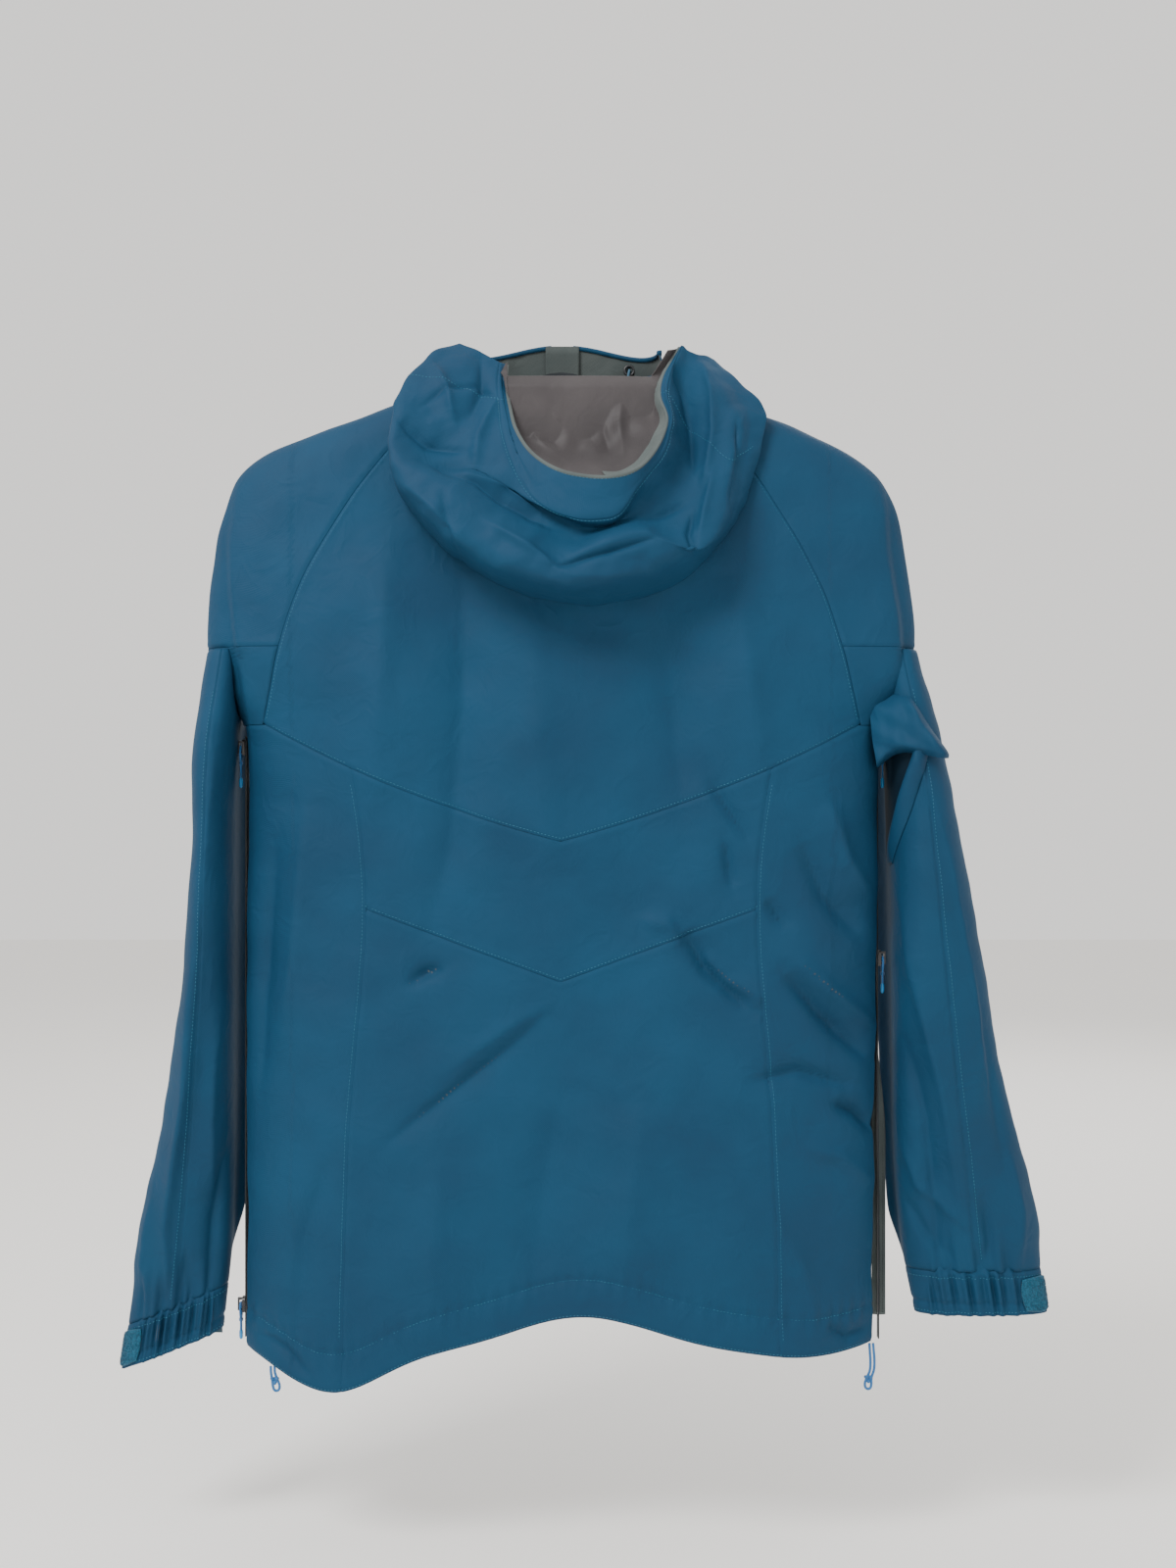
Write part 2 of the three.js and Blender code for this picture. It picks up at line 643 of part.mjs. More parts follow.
const SLEEVE_SIDES = 20;
const SEAM_ANGLE = 0.006; // half of the seam's gap along the sleeve, in radians
for (const [name, spec] of Object.entries(SLEEVES)) {
  const cuffTopZ = spec.cuffZ + CUFF_HEIGHT;
  const sleeveHalf = (from, shrink) => (u, v) => {
    const angle = from + mix(SEAM_ANGLE, Math.PI - SEAM_ANGLE, u);
    return sleevePoint(spec, angle, mix(cuffTopZ + SEAM, sleeveTopZ(angle), v), shrink);
  };
  const middleX = (z) => spec.side * (CHEST_HALF + (spec.outer(z) + spec.inner(z)) / 2);
  const outside = (p) => new THREE.Vector3(p.x - middleX(p.z), p.y - SLEEVE_Y, 0);
  const quarter = Math.PI / 2;
  for (const [which, from] of [
    ["outer", -quarter],
    ["under", quarter],
  ]) {
    const wall = shell(sleeveHalf(from, 0), sleeveHalf(from, CLOTH), SLEEVE_SIDES / 2, 11);
    add(`sleeve_${which}_${name}`, wall, TEAL);
  }

  const cuffSection = (angle) => [
    sleevePoint(spec, angle, spec.cuffZ),
    sleevePoint(spec, angle, cuffTopZ),
    sleevePoint(spec, angle, cuffTopZ, CLOTH),
    sleevePoint(spec, angle, spec.cuffZ, CLOTH),
  ];
  add(`cuff_${name}`, hoop(cuffSection, SLEEVE_SIDES), TEAL);

  // The patch of loop pile is sewn on the back of the cuff at its outer edge. The hook tab is sewn on
  // the front of the cuff, and its free end reaches towards the outer edge.
  const cuffMiddleZ = spec.cuffZ + CUFF_HEIGHT / 2;
  const patchFace = (u, v) => {
    const angle = (-2 * Math.PI * mix(3, 0.5, u)) / SLEEVE_SIDES;
    const bottom = sleevePoint(spec, angle, spec.cuffZ);
    return bottom.lerp(sleevePoint(spec, angle, cuffTopZ), mix(3, CUFF_HEIGHT - 5, v) / CUFF_HEIGHT);
  };
  const patchLift = SEAM + PATCH + 0.2;
  add(`cuff_loop_patch_${name}`, panel(patchFace, 5, 3, outside, PATCH, patchLift), LOOP_PILE);
  const tabFace = (u, v) => {
    const z = cuffMiddleZ + TAB_WIDTH * (v - 0.5);
    const flat = sleevePoint(spec, quarter, z);
    return new THREE.Vector3(flat.x + spec.side * TAB_LENGTH * (u - TAB_ROOT), flat.y + 0.6, flat.z);
  };
  const frontwards = () => new THREE.Vector3(0, 1, 0);
  add(`cuff_tab_${name}`, panel(tabFace, 6, 2, frontwards, TAB, SEAM + TAB), BLACK);
}

// ---- Zips ----
// Half a zip: the tape, and the row of teeth along its inner edge, swept down a line. The outline lies
// in the plane of the tape's width (towards) and the direction that the zip faces (out).
function zipHalf(line, towards, out, width = TAPE_WIDTH) {
  const outline = [
    [0.15, -TOOTH_HEIGHT / 2],
    [TOOTH_WIDTH, -TOOTH_HEIGHT / 2],
    [TOOTH_WIDTH, -TAPE / 2],
    [width, -TAPE / 2],
    [width, TAPE / 2],
    [TOOTH_WIDTH, TAPE / 2],
    [TOOTH_WIDTH, TOOTH_HEIGHT / 2],
    [0.15, TOOTH_HEIGHT / 2],
  ];
  const rings = line.map((p) =>
    outline.map(([a, b]) => p.clone().addScaledVector(towards, a).addScaledVector(out, b)),
  );
  return loft(rings);
}

// A slider: an outer plate, wider at its head, with a bridge that holds the pull. It is made lying on
// its back: the head towards +Z, facing +X, so that each zip only has to turn and place it.
const BRIDGE_HEIGHT = 3;
const BRIDGE_LENGTH = 8;
function slider() {
  const head = SLIDER_WIDTH / 2;
  const tail = head * 0.74;
  const shape = new THREE.Shape();
  shape.moveTo(-tail, -SLIDER_LENGTH / 2);
  shape.lineTo(tail, -SLIDER_LENGTH / 2);
  shape.quadraticCurveTo(head, 0, head, SLIDER_LENGTH / 3);
  shape.quadraticCurveTo(head * 0.8, SLIDER_LENGTH / 2, 0, SLIDER_LENGTH / 2);
  shape.quadraticCurveTo(-head * 0.8, SLIDER_LENGTH / 2, -head, SLIDER_LENGTH / 3);
  shape.quadraticCurveTo(-head, 0, -tail, -SLIDER_LENGTH / 2);
  const plate = new THREE.ExtrudeGeometry(shape, {
    depth: SLIDER_PLATE,
    bevelEnabled: false,
    curveSegments: 4,
  });
  plate.rotateX(Math.PI / 2);
  plate.rotateZ(Math.PI / 2);
  const post = 1.6;
  const top = SLIDER_PLATE + BRIDGE_HEIGHT;
  return join(
    plate,
    block(BRIDGE_HEIGHT + 0.4, 2.6, post, SLIDER_PLATE + BRIDGE_HEIGHT / 2 - 0.2, 0, BRIDGE_LENGTH / 2),
    block(BRIDGE_HEIGHT + 0.4, 2.6, post, SLIDER_PLATE + BRIDGE_HEIGHT / 2 - 0.2, 0, -BRIDGE_LENGTH / 2),
    block(1.2, 2.6, BRIDGE_LENGTH + post, top + 0.2, 0, 0),
  );
}

// A pull: a loop of cord through the bridge, ending in a knot or a moulded grip.
const PULL_BAR = 1.2;
const PULL_SPREAD = 8.8; // between the two sides of its loop, so that it can swing past the bridge
function pull(length, grip) {
  const gap = 2.4;
  const y = PULL_SPREAD / 2;
  const bar = block(PULL_BAR, 2 * y + CORD, PULL_BAR, 0, 0, 0);
  const strand = (side) => block(CORD * 0.8, CORD, gap * 2 + 6, 0, side * y, -gap - 3 + PULL_BAR / 2);
  const yoke = block(CORD * 0.8, 2 * y + CORD, 2.4, 0, 0, -2 * gap - 6);
  const tail = block(CORD, CORD * 2, length, 0, 0, -2 * gap - 6 - length / 2);
  const end = block(CORD * 1.5, grip, grip * 1.6, 0, 0, -2 * gap - 6 - length);
  return join(bar, strand(-1), strand(1), yoke, tail, end);
}

const zipOut = TOOTH_HEIGHT / 2 + RUN; // a slider's plate rides this far out from the tape's middle

// Places a slider or a pull whose own +X is "out": azimuth turns it about Z.
function facing(geometry, azimuth, place) {
  return geometry.clone().rotateZ(azimuth).translate(place.x, place.y, place.z);
}

const pullPlace = (place, azimuth) =>
  place.clone().add(new THREE.Vector3(SLIDER_PLATE + BRIDGE_HEIGHT / 2 - 0.1, 0, 0).applyAxisAngle(new THREE.Vector3(0, 0, 1), azimuth));

// The front zip stands on the jacket's straight front edge.
const frontLine = [FRONT_HEM_Z, COLLAR_TOP_Z].map((z) => new THREE.Vector3(0, frontDepth(z) - 1, z));
const ahead = new THREE.Vector3(0, 1, 0);
for (const [name, side] of [
  ["left", -1],
  ["right", 1],
]) {
  add(`front_zip_${name}`, zipHalf(frontLine, new THREE.Vector3(side, 0, 0), ahead), BLACK);
}
const FLAP_WIDTH = 26;
const FLAP_BACK = CLOTH + LINING + 2 * SEAM - 1; // its outer face, behind the middle of the zip's tape
add(
  "front_storm_flap",
  loft(
    frontLine.map((p) =>
      [
        [-FLAP_WIDTH / 2, -FLAP_BACK],
        [FLAP_WIDTH / 2, -FLAP_BACK],
        [FLAP_WIDTH / 2, -FLAP_BACK - LINING],
        [-FLAP_WIDTH / 2, -FLAP_BACK - LINING],
      ].map(([x, y]) => p.clone().add(new THREE.Vector3(x, y, 0))),
    ),
  ),
  GREY,
);
const FRONT_SLIDER_Z = COLLAR_TOP_Z - 12;
const frontSliderAt = new THREE.Vector3(0, frontDepth(FRONT_SLIDER_Z) - 1 + zipOut + 0.2, FRONT_SLIDER_Z);
add("front_zip_slider", facing(slider(), Math.PI / 2, frontSliderAt), BLACK);
add("front_zip_pull", facing(pull(16, 5), Math.PI / 2, pullPlace(frontSliderAt, Math.PI / 2)), BLUE);

// The side zips stand on the body's straight sides. The right one is open below its lower slider.
const SIDE_ZIP_X = CHEST_HALF - 1;
const SIDE_STEPS = 12;
for (const [name, side] of [
  ["left", -1],
  ["right", 1],
]) {
  const isOpen = side > 0;
  const out = new THREE.Vector3(side, 0, 0);
  for (const [half, towards] of [
    ["back", -1],
    ["front", 1],
  ]) {
    const line = [];
    const bottomZ = half === "back" ? HEM_Z : FRONT_HEM_Z;
    for (let i = 0; i <= SIDE_STEPS; i++) {
      const z = mix(bottomZ, ZIP_TOP_Z, i / SIDE_STEPS);
      const open = isOpen ? opened(z) : 0;
      const flare = half === "front" ? ZIP_FLARE * open : 0;
      line.push(new THREE.Vector3(side * (SIDE_ZIP_X + flare), towards * ZIP_SPREAD * open, z));
    }
    add(`side_zip_${name}_${half}`, zipHalf(line, new THREE.Vector3(0, towards, 0), out), BLACK);
  }
  const azimuth = side > 0 ? 0 : Math.PI;
  const upperZ = ZIP_TOP_Z - SLIDER_LENGTH / 2 - 2;
  const lowerZ = isOpen ? ZIP_SPLIT_Z : FRONT_HEM_Z + SLIDER_LENGTH / 2 + 3;
  for (const [which, z] of [
    ["upper", upperZ],
    ["lower", lowerZ],
  ]) {
    const place = new THREE.Vector3(side * (SIDE_ZIP_X + zipOut), 0, z);
    add(`side_zip_slider_${name}_${which}`, facing(slider(), azimuth, place), BLACK);
    const length = which === "upper" ? 14 : 10;
    add(`side_zip_pull_${name}_${which}`, facing(pull(length, 5), azimuth, pullPlace(place, azimuth)), BLUE);
  }
}

// ---- Pockets ----
// Each pocket's zip is one closed strip of tape and teeth on the front's straight fall line.
const POCKET_TAPE = 6;
const POCKETS = {
  hand_pocket_left: { x: -150, top: -430, bottom: -590 },
  hand_pocket_right: { x: 150, top: -430, bottom: -590 },
  chest_pocket: { x: -88, top: -150, bottom: -290 },
};
for (const [name, { x, top, bottom }] of Object.entries(POCKETS)) {
  const inner = x - Math.sign(x) * POCKET_TAPE;
  const faceY = (z) => body(frontPhi(inner, z), z).y;
  const proud = Math.max(faceY(top), faceY(bottom)) + SEAM + TOOTH_HEIGHT / 2;
  const across = new THREE.Vector3(1, 0, 0);
  const line = [bottom, top].map((z) => new THREE.Vector3(x, proud, z));
  const left = zipHalf(line, across.clone().negate(), ahead, POCKET_TAPE);
  const right = zipHalf(line, across, ahead, POCKET_TAPE);
  const seamFill = block(1, 1, top - bottom, x, proud, (top + bottom) / 2);
  add(`${name}_zip`, join(left, right, seamFill), BLACK);
  const place = new THREE.Vector3(x, proud + zipOut, top - SLIDER_LENGTH / 2 - 3);
  const sliding = facing(slider(), Math.PI / 2, place);
  add(`${name}_slider`, sliding, BLUE);
}

// ---- Hem cords ----
// The hem's elastic cord comes out at each side as a doubled end: down, round and back up. The points
// are offsets from where it leaves the hem, sideways and up.
const HEM_CORDS = {
  left: {
    x: -215,
    route: [[-1.4, 0], [-1.2, -5], [-0.2, -11], [0.4, -15.5], [1.4, -17.8], [3, -18.4], [4.6, -17.6], [5.2, -15], [3.6, -10], [1.8, -5], [1.5, 0]],
  },
  right: {
    x: 233,
    route: [[-1.4, 0], [-1, -7], [-0.6, -14], [-1.2, -21], [-3.8, -27], [-4.8, -31], [-4, -33.6], [-2.3, -34.4], [-0.6, -33.4], [0, -31], [0.2, -26], [2, -20], [2.4, -13], [1.9, -6], [1.4, 0]],
  },
};
const CORD_START = 0.6; // the hem's edge slopes, so the cord starts a little lower
const CORD_SIDES = 8;
const CORD_STEP = 2.5; // in diameters

function cordTube(points) {
  const path = new THREE.CatmullRomCurve3(points, false, "centripetal");
  const section = new THREE.Shape(
    Array.from({ length: CORD_SIDES }, (_, i) => {
      const angle = (2 * Math.PI * i) / CORD_SIDES;
      return new THREE.Vector2(Math.cos(angle), Math.sin(angle)).multiplyScalar(CORD / 2);
    }),
  );
  const steps = Math.max(16, Math.round(path.getLength() / (CORD * CORD_STEP)));
  return new THREE.ExtrudeGeometry(section, { steps, extrudePath: path, bevelEnabled: false });
}

for (const [name, { x, route }] of Object.entries(HEM_CORDS)) {
  const hem = body(backPhi(x, hemZ(x)), hemZ(x));
  const y = hem.y + CLOTH / 2;
  const points = route.map(([dx, dz]) => new THREE.Vector3(x + dx, y, hem.z + dz - SEAM - CORD_START));
  add(`hem_cord_${name}`, cordTube(points), BLUE);
}

// ---- Cord locks ----
// A cord lock is a barrel with a sprung plunger; the plunger's head stands out of the barrel.
const LOCK_WALL = 1.4;
const PLUNGER_HEAD = 3.4;
function cordLock(name, place, spin) {
  const bore = LOCK_RADIUS - LOCK_WALL;
  const barrelProfile = [
    [0, 0],
    [LOCK_RADIUS, 0],
    [LOCK_RADIUS, LOCK_LENGTH],
    [bore + SEAM, LOCK_LENGTH],
    [bore + SEAM, 3],
    [0, 3],
  ].map(([r, h]) => new THREE.Vector2(r, h));
  const plungerProfile = [
    [0, 3 + PLUNGER_TRAVEL + SEAM],
    [bore, 3 + PLUNGER_TRAVEL + SEAM],
    [bore, LOCK_LENGTH + PLUNGER_HEAD - 0.8],
    [bore - 0.8, LOCK_LENGTH + PLUNGER_HEAD],
    [0, LOCK_LENGTH + PLUNGER_HEAD],
  ].map(([r, h]) => new THREE.Vector2(r, h));
  const set = (profile) =>
    new THREE.LatheGeometry(profile, 14).rotateX(Math.PI / 2).rotateX(spin).translate(...place);
  add(`${name}_barrel`, mergeVertices(bare(set(barrelProfile)), 1e-3), BLACK);
  add(`${name}_plunger`, mergeVertices(bare(set(plungerProfile)), 1e-3), BLACK);
}

function bare(geometry) {
  geometry.deleteAttribute("normal");
  geometry.deleteAttribute("uv");
  return geometry;
}

// The hood's lock sits behind the right end of its rim, and the cord's doubled end loops out of it.
const HOOD_LOCK = [98.4, 26.4, 27.5];
cordLock("hood_cord_lock", HOOD_LOCK, 0);
const HOOD_LOOP = [[4.9, 9.5], [8.4, 12], [13.4, 14], [16.4, 11.5], [13.9, 6], [9.9, 0], [7.4, -1.5], [4.9, 0.6]];
const loopPoints = HOOD_LOOP.map(
  ([dx, dz]) => new THREE.Vector3(HOOD_LOCK[0] + dx, HOOD_LOCK[1], HOOD_LOCK[2] + dz),
);
add("hood_cord_loop", cordTube(loopPoints), BLUE);

export default jacket;
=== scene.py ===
import json
import math

import bpy
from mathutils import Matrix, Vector
import numpy as np


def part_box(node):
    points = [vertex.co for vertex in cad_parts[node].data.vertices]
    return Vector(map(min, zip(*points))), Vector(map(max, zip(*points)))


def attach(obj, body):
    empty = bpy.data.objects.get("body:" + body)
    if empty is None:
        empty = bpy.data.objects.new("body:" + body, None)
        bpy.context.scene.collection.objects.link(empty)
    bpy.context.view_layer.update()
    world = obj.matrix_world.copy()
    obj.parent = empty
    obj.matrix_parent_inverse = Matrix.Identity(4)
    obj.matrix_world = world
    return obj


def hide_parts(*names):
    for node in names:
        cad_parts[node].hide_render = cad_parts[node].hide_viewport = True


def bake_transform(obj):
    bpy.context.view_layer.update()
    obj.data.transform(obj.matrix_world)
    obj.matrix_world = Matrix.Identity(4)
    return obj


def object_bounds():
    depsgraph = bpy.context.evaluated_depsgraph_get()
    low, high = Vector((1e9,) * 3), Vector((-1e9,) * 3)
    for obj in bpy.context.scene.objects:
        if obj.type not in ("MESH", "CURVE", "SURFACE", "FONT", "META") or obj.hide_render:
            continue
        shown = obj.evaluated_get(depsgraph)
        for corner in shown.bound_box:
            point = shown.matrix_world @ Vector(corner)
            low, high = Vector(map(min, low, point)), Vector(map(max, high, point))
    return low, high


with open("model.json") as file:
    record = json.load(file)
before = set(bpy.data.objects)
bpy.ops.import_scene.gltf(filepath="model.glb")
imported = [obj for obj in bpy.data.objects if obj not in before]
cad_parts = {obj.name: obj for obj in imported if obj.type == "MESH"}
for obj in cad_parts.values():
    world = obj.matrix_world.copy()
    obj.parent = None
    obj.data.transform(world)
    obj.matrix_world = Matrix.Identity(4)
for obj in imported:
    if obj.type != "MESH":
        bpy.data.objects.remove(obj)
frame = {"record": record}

cad_box = [list(corner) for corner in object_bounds()]
scene = bpy.context.scene

# ---- Camera ----
# A level view of the jacket's back from chest height, 1.5 m behind the cloth.
back_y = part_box("back_lower_panel")[0].y
camera_data = bpy.data.cameras.new("camera")
camera_data.sensor_fit = "VERTICAL"
camera_data.sensor_height = 36
camera_data.lens = 46.9
camera = bpy.data.objects.new("camera", camera_data)
camera.location = (0.020, back_y - 1.5, -0.288)
camera.rotation_euler = (math.pi / 2, 0, 0)
scene.collection.objects.link(camera)
scene.camera = camera

# ---- Hem and hood cords ----
# Round elastic cord with a braided bright blue cover. Each comes out as a doubled end, and the hem's
# two are tied in an overhand knot.
CORD = 0.002


def add_node(tree, kind, inputs=None, **settings):
    """A new node in the tree. Each of its inputs is a plain value, or another node's output to join."""
    node = tree.nodes.new(kind)
    for key, value in settings.items():
        setattr(node, key, value)
    for key, value in (inputs or {}).items():
        if isinstance(value, bpy.types.NodeSocket):
            tree.links.new(value, node.inputs[key])
        else:
            node.inputs[key].default_value = value
    return node


def material(name, roughness, colour=(0, 0, 0)):
    """A new material of one colour and roughness: itself, its node tree and its Principled shader."""
    made = bpy.data.materials.new(name)
    made.use_nodes = True
    shader = made.node_tree.nodes["Principled BSDF"]
    shader.inputs["Base Color"].default_value = (*colour, 1)
    shader.inputs["Roughness"].default_value = roughness
    return made, made.node_tree, shader


def colour_between(tree, shader, share, dark, light, low=0.0, high=1.0):
    """The shader's colour goes from dark, where the share is low, to light, where it is high."""
    ramp = add_node(tree, "ShaderNodeValToRGB", {"Fac": share})
    for element, position, colour in zip(ramp.color_ramp.elements, (low, high), (dark, light)):
        element.position = position
        element.color = (*colour, 1)
    tree.links.new(ramp.outputs["Color"], shader.inputs["Base Color"])


def relief(tree, shader, height, strength, depth, under=None):
    """Raises the shader's surface by the height, on top of another relief where one is given."""
    bump = add_node(tree, "ShaderNodeBump", {"Height": height, "Strength": strength, "Distance": depth})
    if under:
        tree.links.new(under.outputs["Normal"], bump.inputs["Normal"])
    tree.links.new(bump.outputs["Normal"], shader.inputs["Normal"])
    return bump


def braided_cord(name, dark, light):
    """Cord cover: two sets of slanting threads cross along its length and round it."""
    made, tree, shader = material(name, 0.55)
    place = add_node(tree, "ShaderNodeTexCoord").outputs["Object"]
    threads = []
    for slant in (0.7, -0.7):
        turn = add_node(tree, "ShaderNodeMapping", {"Vector": place, "Rotation": (0, slant, slant)})
        wave = {"Vector": turn.outputs["Vector"], "Scale": 450, "Distortion": 0.6}
        threads.append(add_node(tree, "ShaderNodeTexWave", wave).outputs["Fac"])
    cross = add_node(tree, "ShaderNodeMath", dict(enumerate(threads)), operation="MULTIPLY").outputs[0]
    colour_between(tree, shader, cross, dark, light)
    relief(tree, shader, cross, 0.5, 0.0002)
    shader.inputs["Sheen Weight"].default_value = 0.3
    return made


cord_blue = braided_cord("cord_blue", (0.003, 0.085, 0.26), (0.008, 0.20, 0.50))
cord_teal = braided_cord("cord_teal", (0.004, 0.06, 0.12), (0.012, 0.16, 0.27))


def cord_curve(name, points, finish):
    """A round cord through the points, as one open smooth spline, ridden with the jacket."""
    data = bpy.data.curves.new(name, "CURVE")
    data.dimensions = "3D"
    data.bevel_depth = CORD / 2
    data.bevel_resolution = 3
    data.use_fill_caps = True
    data.resolution_u = 6
    spline = data.splines.new("BEZIER")
    spline.bezier_points.add(len(points) - 1)
    for point, place in zip(spline.bezier_points, points):
        point.co = place
        point.handle_left_type = point.handle_right_type = "AUTO"
    data.materials.append(finish)
    piece = bpy.data.objects.new(name, data)
    scene.collection.objects.link(piece)
    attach(piece, "jacket")
    return piece


def route_length(points):
    """The length of a smooth line through the points, measured on its spline."""
    fine = spline_rows(np.array(points), 200)
    return float(np.linalg.norm(np.diff(fine, axis=0), axis=1).sum())


def spline_weights(count, samples):
    """Catmull-Rom weights that carry count control rows to samples places spread evenly over them."""
    t = np.linspace(0, count - 1, samples)
    i = np.minimum(t.astype(int), count - 2)
    f = t - i
    weights = np.zeros((samples, count))
    basis = np.stack(
        [
            -0.5 * f + f**2 - 0.5 * f**3,
            1 - 2.5 * f**2 + 1.5 * f**3,
            0.5 * f + 2 * f**2 - 1.5 * f**3,
            -0.5 * f**2 + 0.5 * f**3,
        ]
    )
    for k in range(4):
        np.add.at(weights, (np.arange(samples), np.clip(i + k - 1, 0, count - 1)), basis[k])
    return weights


def spline_rows(rows, samples):
    """Rows of control points carried to samples rows along a Catmull-Rom spline."""
    return np.tensordot(spline_weights(len(rows), samples), rows, 1)


def smooth_grid(lines, columns, rows):
    """A smooth surface through lines that run side by side: columns points along them, rows across."""
    lines = np.array(lines, float)
    along = np.swapaxes(spline_rows(np.swapaxes(lines, 0, 1), columns), 0, 1)
    return spline_rows(along, rows)


# The same routes as the cords' solids: offsets in millimetres from where each leaves the cloth.
HEM_ROUTES = {
    "left": [[-1.4, 0], [-1.2, -5], [-0.2, -11], [0.4, -15.5], [1.4, -17.8], [3, -18.4], [4.6, -17.6],
             [5.2, -15], [3.6, -10], [1.8, -5], [1.5, 0]],
    "right": [[-1.4, 0], [-1, -7], [-0.6, -14], [-1.2, -21], [-3.8, -27], [-4.8, -31], [-4, -33.6],
              [-2.3, -34.4], [-0.6, -33.4], [0, -31], [0.2, -26], [2, -20], [2.4, -13], [1.9, -6], [1.4, 0]],
}
HEM_CORD_X = {"left": -0.215, "right": 0.233}
for side, route in HEM_ROUTES.items():
    low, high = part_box(f"hem_cord_{side}")
    exit_x = HEM_CORD_X[side]
    points = [(exit_x + dx / 1000, (low.y + high.y) / 2, high.z - 0.0002 + dz / 1000) for dx, dz in route]
    piece = cord_curve(f"hem_cord_{side}_braid", points, cord_blue)
    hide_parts(f"hem_cord_{side}")
    route_length(points)

HOOD_LOOP = [[4.9, 9.5], [8.4, 12], [13.4, 14], [16.4, 11.5], [13.9, 6], [9.9, 0], [7.4, -1.5], [4.9, 0.6]]
lock_low, lock_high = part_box("hood_cord_lock_barrel")
points = [((lock_low.x + lock_high.x) / 2 + dx / 1000, (lock_low.y + lock_high.y) / 2, lock_low.z + dz / 1000)
          for dx, dz in HOOD_LOOP]
piece = cord_curve("hood_cord_loop_braid", points, cord_teal)
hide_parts("hood_cord_loop")
route_length(points)

# ---- Studio ----
# A plain pale floor well under the hanging jacket, a pale surround, and broad soft lights.
FLOOR_Z = cad_box[0][2] - 0.12
floor_mesh = bpy.data.meshes.new("studio_floor")
floor_mesh.from_pydata([(-6, -6, FLOOR_Z), (6, -6, FLOOR_Z), (6, 6, FLOOR_Z), (-6, 6, FLOOR_Z)], [],
                       [(0, 1, 2, 3)])
floor = bpy.data.objects.new("studio_floor", floor_mesh)
scene.collection.objects.link(floor)
floor_mesh.materials.append(material("floor_paint", 0.8, (0.90, 0.885, 0.86))[0])

world = bpy.data.worlds.new("studio")
world.use_nodes = True
world.node_tree.nodes["Background"].inputs["Color"].default_value = (0.93, 0.915, 0.89, 1)
world.node_tree.nodes["Background"].inputs["Strength"].default_value = 1.25
scene.world = world


def soft_light(name, place, aim, size, power):
    """A square area light at place, turned to face aim."""
    data = bpy.data.lights.new(name, "AREA")
    data.size = size
    data.energy = power
    lamp = bpy.data.objects.new(name, data)
    lamp.location = place
    toward = np.array(aim, float) - np.array(place, float)
    lamp.rotation_euler = Vector(toward).to_track_quat("-Z", "Y").to_euler()
    scene.collection.objects.link(lamp)


soft_light("key_light", (-1.1, -1.5, 1.5), (0, 0, -0.3), 0.9, 60)
soft_light("fill_light", (1.6, -2.0, 0.2), (0, 0, -0.35), 1.6, 5)
soft_light("front_light", (0.8, 2.4, 1.2), (0, 0, -0.35), 1.6, 30)

# ---- Shell cloth ----
# Three-layer shell cloth: a fine, taut, matt plain weave in deep teal. It is cut in panels that are
# sewn and taped, so every seam is a shallow line with one row of stitches beside it.
MM = 0.001


def new_group(name, inputs, outputs):
    """A shader node group with the given sockets: the group, and the sockets at its start and end."""
    group = bpy.data.node_groups.new(name, "ShaderNodeTree")
    for label, kind in inputs.items():
        group.interface.new_socket(label, in_out="INPUT", socket_type=kind)
    for label in outputs:
        group.interface.new_socket(label, in_out="OUTPUT", socket_type="NodeSocketFloat")
    return group, group.nodes.new("NodeGroupInput").outputs, group.nodes.new("NodeGroupOutput").inputs


def worked_out(group, operation, *values):
    """One step of arithmetic in the group, on plain values or other nodes' outputs."""
    return add_node(group, "ShaderNodeMath", dict(enumerate(values)), operation=operation).outputs[0]


def weave_group():
    """Plain weave: the product of two sines across and along the cloth, in threads per metre."""
    group, start, end = new_group("weave", {"Place": "NodeSocketVector", "Threads": "NodeSocketFloat"},
                                  ["Height"])
    grow = add_node(group, "ShaderNodeVectorMath", {0: start["Place"], "Scale": start["Threads"]},
                    operation="SCALE")
    split = add_node(group, "ShaderNodeSeparateXYZ", {0: grow.outputs[0]}).outputs
    turns = [worked_out(group, "MULTIPLY", split[axis], math.pi) for axis in "XY"]
    sines = [worked_out(group, "SINE", turn) for turn in turns]
    group.links.new(worked_out(group, "MULTIPLY", *sines), end["Height"])
    return group


def crumple_group():
    """Handling creases: two scales of stretched noise, the finer one folded into sharp lines."""
    group, start, end = new_group("crumple", {"Place": "NodeSocketVector", "Scale": "NodeSocketFloat"},
                                  ["Height", "Tone"])
    broad = add_node(group, "ShaderNodeTexNoise", {"Vector": start["Place"], "Scale": start["Scale"],
                                                   "Detail": 3, "Roughness": 0.5}).outputs["Fac"]
    finer = worked_out(group, "MULTIPLY", start["Scale"], 3.1)
    sharp = add_node(group, "ShaderNodeTexNoise", {"Vector": start["Place"], "Scale": finer, "Detail": 2,
                                                   "Distortion": 0.7}).outputs["Fac"]
    fold = worked_out(group, "ABSOLUTE", worked_out(group, "SUBTRACT", sharp, 0.5))
    group.links.new(worked_out(group, "SUBTRACT", broad, fold), end["Height"])
    group.links.new(broad, end["Tone"])
    return group


WEAVE = weave_group()
CRUMPLE = crumple_group()


